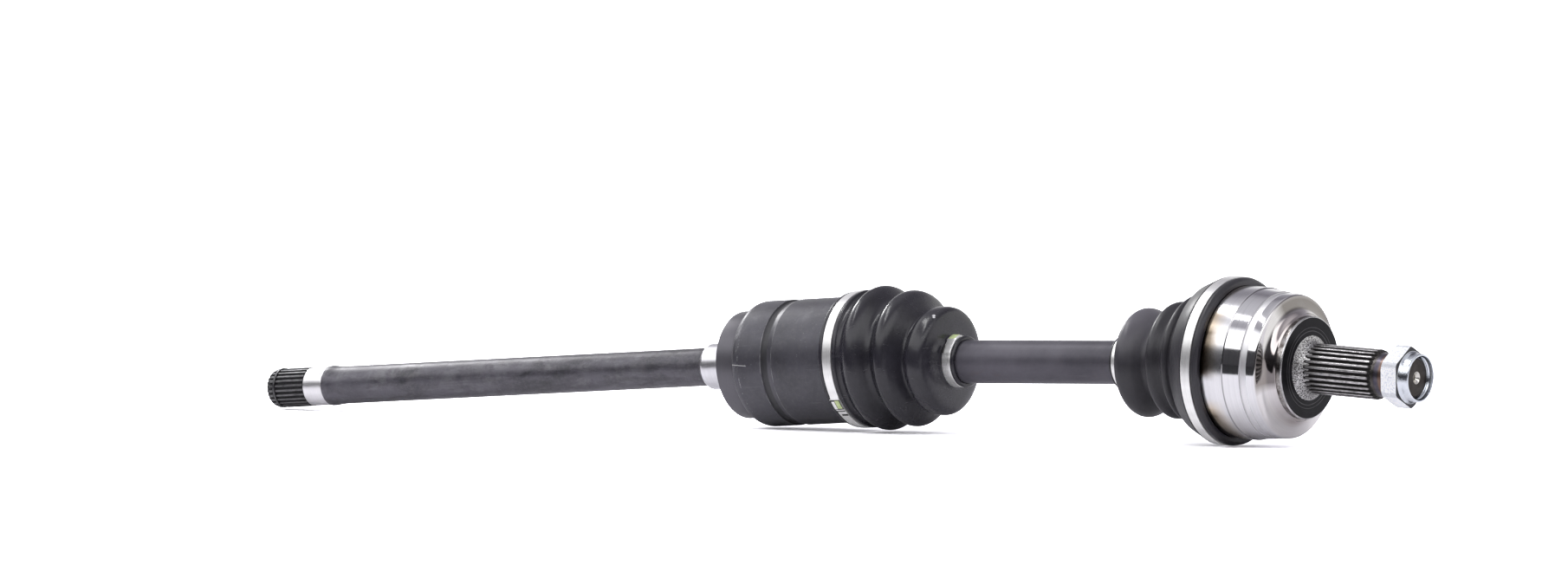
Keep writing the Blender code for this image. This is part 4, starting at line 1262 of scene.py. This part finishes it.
def plate_mesh(x0, x1, r, middle, half, thick):
    """A small curved plate with softened borders; middle and half are degrees."""
    bm = bmesh.new()
    nx, na = 8, 10
    top, bottom = [], []
    for i in range(nx + 1):
        upper, lower = [], []
        for k in range(na + 1):
            u, v = i / nx, k / na
            x = x0 + (x1 - x0) * u
            angle = math.radians(middle - half + 2 * half * v)
            dome = 1.0 - max(abs(2 * u - 1), abs(2 * v - 1)) ** 6
            upper.append(bm.verts.new(polar(x, r + thick * (0.35 + 0.65 * dome), angle)))
            lower.append(bm.verts.new(polar(x, r - 0.2, angle)))
        top.append(upper)
        bottom.append(lower)
    for i in range(nx):
        for k in range(na):
            bm.faces.new((top[i][k], top[i + 1][k], top[i + 1][k + 1], top[i][k + 1]))
            bm.faces.new(
                (bottom[i][k], bottom[i][k + 1], bottom[i + 1][k + 1], bottom[i + 1][k])
            )
    for i in range(nx):
        bm.faces.new((top[i][0], bottom[i][0], bottom[i + 1][0], top[i + 1][0]))
        bm.faces.new((top[i][na], top[i + 1][na], bottom[i + 1][na], bottom[i][na]))
    for k in range(na):
        bm.faces.new((top[0][k], top[0][k + 1], bottom[0][k + 1], bottom[0][k]))
        bm.faces.new((top[nx][k], bottom[nx][k], bottom[nx][k + 1], top[nx][k + 1]))
    return bm


def build_clamps():
    steel = clamp_material()
    paint = paint_material()
    gap_shade = gap_shade_material()

    def clamp(name, world, body, x_span, radii, joint, plates=(), seg=180):
        node = name.replace("_", "_boot_", 1)
        strap = strap_mesh(x_span, radii, joint, seg)
        piece(name, strap, world, steel, body, node, 35)
        for suffix, mat, *plate in plates:
            plate_name = f"{name}_{suffix}"
            piece(plate_name, plate_mesh(*plate), world, mat, body, node, 45)

    # plates: name, material, x from, x to, radius, degrees, half width in degrees, thickness
    clamp(
        "inner_large_clamp", AT_CAN, "gearbox_stub",
        x_span=(27.4, 33.5), radii=(40.15, 41.05), joint=(218.5, 7.0, 0.7),
        plates=[
            ("lock", steel, 26.9, 34.2, 41.65, 218.5, 5.4, 0.5),
            ("frame", gap_shade, 27.1, 34.0, 42.1, 218.5, 5.0, 0.12),
            ("window", steel, 27.8, 30.0, 42.2, 218.8, 4.0, 0.12),
            ("mark", paint, 30.4, 33.5, 42.2, 218.2, 4.1, 0.14),
            ("slot", gap_shade, 27.6, 33.3, 41.35, 226.6, 0.5, 0.12),
            ("slot_b", gap_shade, 29.0, 33.3, 41.35, 231.5, 1.0, 0.12),
        ],
    )
    clamp(
        "inner_small_clamp", AT_BAR, "axle_shaft",
        x_span=(96.2, 102.0), radii=(14.5, 15.2), joint=(112.0, 15.0, 0.7), seg=120,
        plates=[
            ("lock", steel, 95.9, 102.4, 15.8, 112.0, 12.0, 0.9),
            ("slot", gap_shade, 96.2, 97.2, 16.0, 150.0, 9.0, 0.2),
            ("mark", paint, 97.0, 101.6, 16.55, 112.0, 10.0, 0.2),
        ],
    )
    clamp(
        "outer_small_clamp", AT_RACE, "axle_shaft",
        x_span=(-93.0, -86.5), radii=(15.9, 16.6), joint=(60.0, 14.0, 0.6), seg=120,
    )
    clamp(
        "outer_large_clamp", AT_BELL, "wheel_stub",
        x_span=(-20.5, -14.3), radii=(48.85, 49.6), joint=(40.0, 5.5, 0.7),
        plates=[("lock", steel, -20.9, -13.9, 50.1, 40.0, 4.0, 0.5)],
    )


# ------------------------------------------------------------------ boots
BOOT_WALL = 1.4
# (x from the inner joint centre, radius[, fillet])
INNER_FOLDS = [
    (36.9, 39.4), (38.0, 39.1), (39.2, 39.1), (40.6, 39.8), (42.2, 41.2), (44.2, 42.6),
    (46.4, 43.05), (48.6, 42.4), (50.8, 40.3), (52.8, 37.4), (54.7, 35.0), (56.5, 34.0),
    (58.3, 34.4), (60.4, 36.4), (62.6, 38.8), (64.8, 40.25), (66.8, 40.5), (68.8, 39.8),
    (70.6, 37.6), (72.5, 33.4), (74.4, 29.2), (75.7, 27.3), (76.6, 27.0), (77.9, 28.0),
    (79.6, 30.2), (81.6, 31.7), (84.0, 32.25), (87.0, 32.3), (89.6, 31.9), (91.4, 30.6),
    (92.7, 28.0), (93.5, 24.6), (93.9, 21.0), (94.2, 18.0), (94.5, 16.2), (95.3, 14.7),
]
INNER_LARGE_END = [
    (24.0, 37.95), (24.0, 39.8, 0.5), (24.6, 40.7, 0.5), (26.6, 40.7, 0.5), (27.0, 39.8),
    (34.0, 39.8), (34.3, 41.1, 0.5), (36.2, 41.1, 0.6), (36.9, 39.4),
]
INNER_SMALL_END = [
    (96.1, 14.2), (102.1, 14.2), (102.4, 15.25, 0.3), (103.9, 15.25, 0.4), (104.5, 14.5, 0.3),
    (104.5, BAR_BORE),
]
# (x from the outer joint centre, radius[, fillet])
OUTER_FOLDS = [
    (-81.4, 15.5), (-82.2, 17.0), (-82.8, 20.0), (-82.9, 24.0), (-82.1, 28.2), (-80.3, 31.0),
    (-77.7, 32.1), (-74.8, 31.7), (-71.4, 29.4), (-68.2, 25.8), (-65.8, 23.5), (-63.9, 23.0),
    (-62.2, 23.8), (-60.3, 26.6), (-58.2, 30.8), (-56.5, 33.6), (-54.7, 34.4), (-52.6, 34.0),
    (-50.2, 32.2), (-48.3, 31.1), (-46.8, 31.1), (-45.3, 33.2), (-43.8, 36.0), (-42.4, 37.7),
    (-40.9, 38.0), (-39.6, 37.1), (-38.4, 35.9), (-37.1, 35.5), (-35.9, 36.4), (-34.4, 38.9),
    (-33.2, 41.4), (-32.4, 43.3), (-31.7, 44.4),
]
OUTER_SMALL_END = [
    (-95.0, BAR_BORE), (-95.0, 15.1, 0.4), (-94.5, 16.4, 0.4), (-93.6, 16.4, 0.4),
    (-93.3, 15.6), (-86.0, 15.6), (-84.6, 15.6),
]
OUTER_LARGE_END = [
    (-31.4, 44.8), (-22.4, 48.9, 0.5), (-21.6, 49.4, 0.3), (-21.0, 49.4, 0.3), (-20.8, 48.5),
    (-14.0, 48.5), (-13.7, 49.2, 0.4), (-12.0, 49.2, 0.5), (-10.6, 48.2, 0.6),
    (-10.0, 47.2, 0.3), (-10.0, 44.85),
]


def unit(t):
    return min(1.0, max(0.0, t))


def smooth(t):
    t = unit(t)
    return t * t * (3.0 - 2.0 * t)


def bent_mesh(profile, seg, origin, angle_at, weight_at, travel_at, lean=lambda x: 0.0):
    """Closed outline turned about an axis that bends in the XZ plane, with a bending weight and a
    sliding weight on each point. lean(x) pushes the upper half along the axis."""
    bm = bmesh.new()
    bend_layer = bm.verts.layers.float.new("bend_weight")
    slide_layer = bm.verts.layers.float.new("slide_weight")
    station_layer = bm.verts.layers.float.new("station")
    rings = []
    for x, r in profile:
        turn = Matrix.Rotation(-math.radians(angle_at(x)), 3, "Y")
        ring = []
        for k in range(seg):
            a = 2 * math.pi * k / seg
            over = lean(x) * max(0.0, r * math.sin(a)) / 30.0
            point = turn @ Vector((x + over, r * math.cos(a), r * math.sin(a))) + origin
            vert = bm.verts.new(point * MM)
            vert[bend_layer] = weight_at(x)
            vert[slide_layer] = travel_at(x)
            vert[station_layer] = x
            ring.append(vert)
        rings.append(ring)
    for a, b in zip(rings, rings[1:] + rings[:1]):
        bridge(bm, a, b)
    return bm


def add_bending(ob, follow, centre):
    """Bends ob about centre by its weights as the followed body turns and slides."""
    tree = bpy.data.node_groups.new(ob.name + "_bend", "GeometryNodeTree")
    for direction in ("INPUT", "OUTPUT"):
        tree.interface.new_socket(
            "Geometry", in_out=direction, socket_type="NodeSocketGeometry"
        )
    g = Nodes(tree)
    group_in, group_out = g.node("NodeGroupInput"), g.node("NodeGroupOutput")
    info = g.node("GeometryNodeObjectInfo", transform_space="RELATIVE")
    info.inputs["Object"].default_value = frame["bodies"][follow]

    def attribute(name):
        made = g.node("GeometryNodeInputNamedAttribute", data_type="FLOAT")
        made.inputs["Name"].default_value = name
        return made.outputs["Attribute"]

    pivot = tuple(centre)
    position = g.node("GeometryNodeInputPosition").outputs[0]
    transform = g.node("FunctionNodeTransformPoint")
    g.put(transform.inputs[0], pivot)
    g.put(transform.inputs[1], info.outputs["Transform"])
    moved = g.vector_math("SUBTRACT", transform.outputs[0], pivot)
    slide = g.vector_math("SCALE", moved, scale=attribute("slide_weight"))
    turn = g.node("FunctionNodeRotationToAxisAngle")
    g.put(turn.inputs[0], info.outputs["Rotation"])
    share = g.node("ShaderNodeMath", operation="MULTIPLY")
    g.put(share.inputs[0], turn.outputs["Angle"])
    g.put(share.inputs[1], attribute("bend_weight"))
    part_turn = g.node("FunctionNodeAxisAngleToRotation")
    g.put(part_turn.inputs["Axis"], turn.outputs["Axis"])
    g.put(part_turn.inputs["Angle"], share.outputs[0])
    rotate = g.node("FunctionNodeRotateVector")
    g.put(rotate.inputs[0], g.vector_math("SUBTRACT", position, pivot))
    g.put(rotate.inputs[1], part_turn.outputs[0])
    bent = g.vector_math("ADD", rotate.outputs[0], pivot)
    place = g.node("GeometryNodeSetPosition")
    g.put(place.inputs["Geometry"], group_in.outputs[0])
    g.put(place.inputs["Position"], g.vector_math("ADD", bent, slide))
    g.put(group_out.inputs[0], place.outputs[0])
    ob.modifiers.new("bend", "NODES").node_group = tree


def rubber(name, dark, light, rough, streaks, glints=(), painted_top_light_box=None):
    """Moulded boot: near black, cloudy, with fine scuffs and dust. Glints are (centre, reach) of
    small bright spots; the last argument is the (x, x, z, z) range of a painted grey top light
    that grows upwards."""
    g = Surface(name)
    cloud = g.noise(scale=30.0, detail=5.0, rough=0.6)
    fine = g.noise(scale=700.0, detail=5.0, rough=0.7)
    colour = g.mottle(cloud, start=0.35, end=0.68, dark=dark, pale=light)
    scuffs = g.noise(stretch=(55.0, 55.0, 160.0), detail=7.0, rough=0.75, distortion=1.2)
    scuff = g.mul(g.rise(scuffs, start=0.60, end=0.76), streaks)
    colour = g.cover(colour, scuff, strength=0.5, paint=(0.16, 0.16, 0.165))
    dust = g.specks(scale=600.0, size=(0.03, 0.07), patches=52.0, spread=(0.54, 0.64))
    colour = g.cover(colour, dust, strength=0.5, paint=(0.30, 0.30, 0.30))
    for centre, reach in glints:
        away = g.vector_math("DISTANCE", g.coord, centre)
        shine = g.fall(g.math("DIVIDE", away, reach), start=0.55, end=1.0)
        grain = g.noise(scale=900.0, detail=3.0, rough=0.7)
        mask = g.mul(shine, g.rise(grain, start=0.38, end=0.55, low=0.45))
        colour = g.mix(mask, colour, (0.78, 0.775, 0.80))
    # painted top light: the colour is lifted to grey over the given x range, more towards the top
    if painted_top_light_box:
        x0, x1, z0, z1 = painted_top_light_box
        high = g.math("DIVIDE", g.sub(g.z, z0), z1 - z0, clamp=True)
        painted_top_light = g.mul(g.window(g.x, lo=x0, hi=x1, soft=0.008), high)
        colour = g.cover(colour, painted_top_light, strength=0.70, paint=(0.165, 0.157, 0.182))
    g.set(
        Base_Color=colour,
        Roughness=g.add(g.mixf(cloud, rough - 0.06, rough + 0.08), g.mul(scuff, 0.15)),
        Specular_IOR_Level=0.5,
    )
    g.bump(fine, strength=0.12, distance=0.0003)
    g.bump(g.noise(scale=120.0, detail=4.0, rough=0.6), strength=0.10, distance=0.0012)
    return g.mat


def build_inner_boot():
    mat = rubber(
        "inner_boot_rubber", dark=(0.0165, 0.0156, 0.0210), light=(0.032, 0.0304, 0.0400),
        rough=0.25, streaks=0.5,
        glints=[
            ((0.51010, -0.01600, 0.05870), 0.0012),
            ((0.51080, -0.01680, 0.05780), 0.0010),
        ],
    )
    folds = curve_through(INNER_FOLDS, 5)
    inside = [p for p in offset_line(folds, BOOT_WALL) if p[0] > 36.8 and p[1] > 13.4]
    outline = (
        rounded(INNER_LARGE_END)[:-1]  # its last point is the first of the folds
        + folds
        + rounded(INNER_SMALL_END)
        + [(95.2, BAR_BORE)]
        + inside[::-1][2:]
        + [(36.5, 37.95)]
    )
    mesh = bent_mesh(
        outline,
        160,
        INNER_CENTRE,
        angle_at=lambda x: ROOT_TILT + (BAR_TILT - ROOT_TILT) * smooth((x - 45.0) / 52.0),
        weight_at=lambda x: smooth((x - 38.0) / 57.0),
        travel_at=lambda x: unit((x - 37.0) / 58.0),
        lean=lambda x: 2.6 * smooth((x - 62.0) / 18.0) * smooth((97.5 - x) / 6.0),
    )
    boot = piece(
        "inner_boot_skin", mesh, Matrix.Identity(4), mat,
        "gearbox_stub", "inner_boot", sharp=60,
    )
    add_bending(boot, "axle_shaft", INNER_CENTRE * MM)


def build_outer_boot():
    mat = rubber(
        "outer_boot_elastomer", dark=(0.023, 0.0219, 0.0270), light=(0.033, 0.0315, 0.0390),
        rough=0.36, streaks=0.25, painted_top_light_box=(0.638, 0.664, 0.034, 0.060),
    )
    folds = curve_through(OUTER_FOLDS, 5)
    inside = [p for p in offset_line(folds, BOOT_WALL) if p[1] > 13.9]
    outline = (
        rounded(OUTER_SMALL_END)[:-1]
        + folds
        + rounded(OUTER_LARGE_END)
        + [(-24.4, 44.78)]
        + inside[::-1]
        + [(-82.6, BAR_BORE)]
    )
    mesh = bent_mesh(
        outline,
        168,
        OUTER_CENTRE,
        angle_at=lambda x: BAR_TILT + (STUB_TILT - BAR_TILT) * smooth((x + 72.0) / 44.0),
        weight_at=lambda x: smooth((x + 78.0) / 54.0),
        travel_at=lambda x: 0.0,
    )
    boot = piece(
        "outer_boot_skin", mesh, Matrix.Identity(4), mat,
        "axle_shaft", "outer_boot", sharp=60,
    )
    add_bending(boot, "wheel_stub", OUTER_CENTRE * MM)


# ------------------------------------------------------------------ internals
def dress_internals():
    """The parts inside the joints keep their CAD shape and only get materials."""
    ground = ground_steel("ground_bearing_steel", base=(0.62, 0.62, 0.64), rough=0.16)
    spring = spring_steel("oiled_spring_steel", base=(0.24, 0.24, 0.25))
    forged = phosphate("forged_inside", base=(0.09, 0.09, 0.093), rough=0.42, scuff=0.2)
    cap = ground_steel("cap_steel", base=(0.45, 0.45, 0.46), rough=0.3)
    looks = {"tripod_spider": forged, "thrust_cap": cap}
    for name in (
        "thrust_spring", "stop_ring", "tripod_circlip", "race_circlip",
        "roller_clip_a", "roller_clip_b", "roller_clip_c",
    ):
        looks[name] = spring
    for name, ob in frame["nodes"].items():
        if name not in REPLACED:
            ob.data.materials.clear()
            ob.data.materials.append(looks.get(name, ground))


# ------------------------------------------------------------------ stage, light, camera
FLOOR_Z = -0.01275
FLOOR_HALF_SIZE = 30.0
AIM = (0.45, 0.0, 0.03)  # where the lamps point


def stage_material():
    """White sheet; the camera sees it brighter than it lights the axle."""
    mat, g, out = blank_material("stage_white")

    def diffuse(colour):
        made = g.node("ShaderNodeBsdfDiffuse")
        g.put(made.inputs[0], colour)
        return made.outputs[0]

    position = g.node("ShaderNodeNewGeometry").outputs["Position"]
    # the sheet ends a little in front of the axle, at -Y; beyond it the room is dark
    sheet = g.math("DIVIDE", g.add(g.split(position)[1], 0.235), 0.02, clamp=True)
    paper = diffuse(g.mix(sheet, (0.035, 0.035, 0.037), (0.97, 0.96, 0.99)))
    glow = g.node("ShaderNodeEmission")
    g.put(glow.inputs["Color"], (0.96, 0.95, 1.0))
    g.put(glow.inputs["Strength"], 0.10)
    # three diffuse layers and a faint glow, added up
    seen = diffuse((0.90, 0.90, 0.91))
    for layer in (diffuse((0.90, 0.90, 0.92)), diffuse((0.90, 0.90, 0.92)), glow.outputs[0]):
        total = g.node("ShaderNodeAddShader")
        g.put(total.inputs[0], seen)
        g.put(total.inputs[1], layer)
        seen = total.outputs[0]
    choose = g.node("ShaderNodeMixShader")
    g.put(choose.inputs[0], g.node("ShaderNodeLightPath").outputs["Is Camera Ray"])
    g.put(choose.inputs[1], paper)
    g.put(choose.inputs[2], seen)
    g.put(out.inputs[0], choose.outputs[0])
    return mat


def build_stage():
    mat = stage_material()
    mesh = bpy.data.meshes.new("studio_floor")
    bm = bmesh.new()
    bmesh.ops.create_grid(bm, x_segments=1, y_segments=1, size=FLOOR_HALF_SIZE)
    bm.to_mesh(mesh)
    bm.free()
    mesh.materials.append(mat)
    floor = bpy.data.objects.new("studio_floor", mesh)
    floor.location = (0.4, 0.0, FLOOR_Z)
    bpy.context.scene.collection.objects.link(floor)


# (height of the direction from 0 straight down to 1 straight up, colour)
NEAR_ROOM = [
    (0.30, (0.34, 0.335, 0.35)),
    (0.42, (0.026, 0.026, 0.028)),
    (0.685, (0.032, 0.031, 0.034)),
    (0.693, (0.98, 0.98, 0.99)),
    (0.855, (0.92, 0.92, 0.94)),
    (0.895, (0.22, 0.215, 0.235)),
    (0.94, (0.24, 0.235, 0.255)),
    (1.0, (0.40, 0.40, 0.42)),
]
FAR_ROOM = [
    (0.50, (0.52, 0.52, 0.52)),
    (0.66, (0.52, 0.52, 0.52)),
    (0.74, (0.20, 0.195, 0.215)),
    (0.86, (0.12, 0.115, 0.13)),
    (0.95, (0.30, 0.295, 0.315)),
    (1.0, (0.40, 0.40, 0.42)),
]


def build_world():
    """Pale grey behind (+Y); on the viewer's side a dark room below a long bright softbox."""
    world = bpy.data.worlds.new("studio")
    bpy.context.scene.world = world
    world.use_nodes = True
    world.node_tree.nodes.clear()
    g = Nodes(world.node_tree)
    out = g.node("ShaderNodeOutputWorld")
    background = g.node("ShaderNodeBackground")
    direction = g.split(g.node("ShaderNodeTexCoord").outputs["Generated"])
    height = g.math("MULTIPLY_ADD", direction[2], 0.5, 0.5)
    near = g.ramp(height, NEAR_ROOM)
    far = g.ramp(height, FAR_ROOM)
    behind = g.rise(g.math("MULTIPLY_ADD", direction[1], 0.5, 0.5), start=0.56, end=0.70)
    room = g.mix(behind, near, far)
    camera_ray = g.node("ShaderNodeLightPath").outputs["Is Camera Ray"]
    g.put(background.inputs["Color"], g.mix(camera_ray, room, (0.5, 0.5, 0.5)))
    g.put(background.inputs["Strength"], 2.0)
    g.put(out.inputs[0], background.outputs[0])


def add_area(name, location, size, power):
    light = bpy.data.lights.new(name, "AREA")
    light.shape = "RECTANGLE"
    light.size, light.size_y = size
    light.energy = power
    ob = bpy.data.objects.new(name, light)
    bpy.context.scene.collection.objects.link(ob)
    ob.location = location
    ob.rotation_euler = (Vector(AIM) - Vector(location)).to_track_quat("-Z", "Y").to_euler()


CAMERA_PLACE = (5.10871018, -6.38044111, 0.41219729)
CAMERA_RIGHT = (0.80392146, 0.59473467, -0.00098232)
CAMERA_UP = (-0.02476693, 0.0351284, 0.99907587)


def build_camera():
    camera = bpy.data.cameras.new("camera")
    camera.lens = 304.96
    camera.sensor_width = 36.0
    camera.clip_end = 200.0
    ob = bpy.data.objects.new("camera", camera)
    bpy.context.scene.collection.objects.link(ob)
    right = Vector(CAMERA_RIGHT).normalized()
    up = Vector(CAMERA_UP).normalized()
    rows = zip(right, up, right.cross(up), CAMERA_PLACE)
    ob.matrix_world = Matrix((*rows, (0, 0, 0, 1)))
    bpy.context.scene.camera = ob


# ------------------------------------------------------------------ build
build_gearbox_shaft()
build_can()
build_gearbox_end()
build_bar()
build_bell()
build_wheel_stub()
build_nut()
build_clamps()
build_inner_boot()
build_outer_boot()
dress_internals()
build_stage()
build_world()
add_area("kicker_left", location=(-1.15, 0.62, 1.02), size=(0.34, 0.12), power=8.0)
add_area("strip_top", location=(0.1, -0.35, 1.5), size=(1.3, 0.10), power=7.0)
build_camera()
bpy.context.scene.view_settings.view_transform = "Standard"
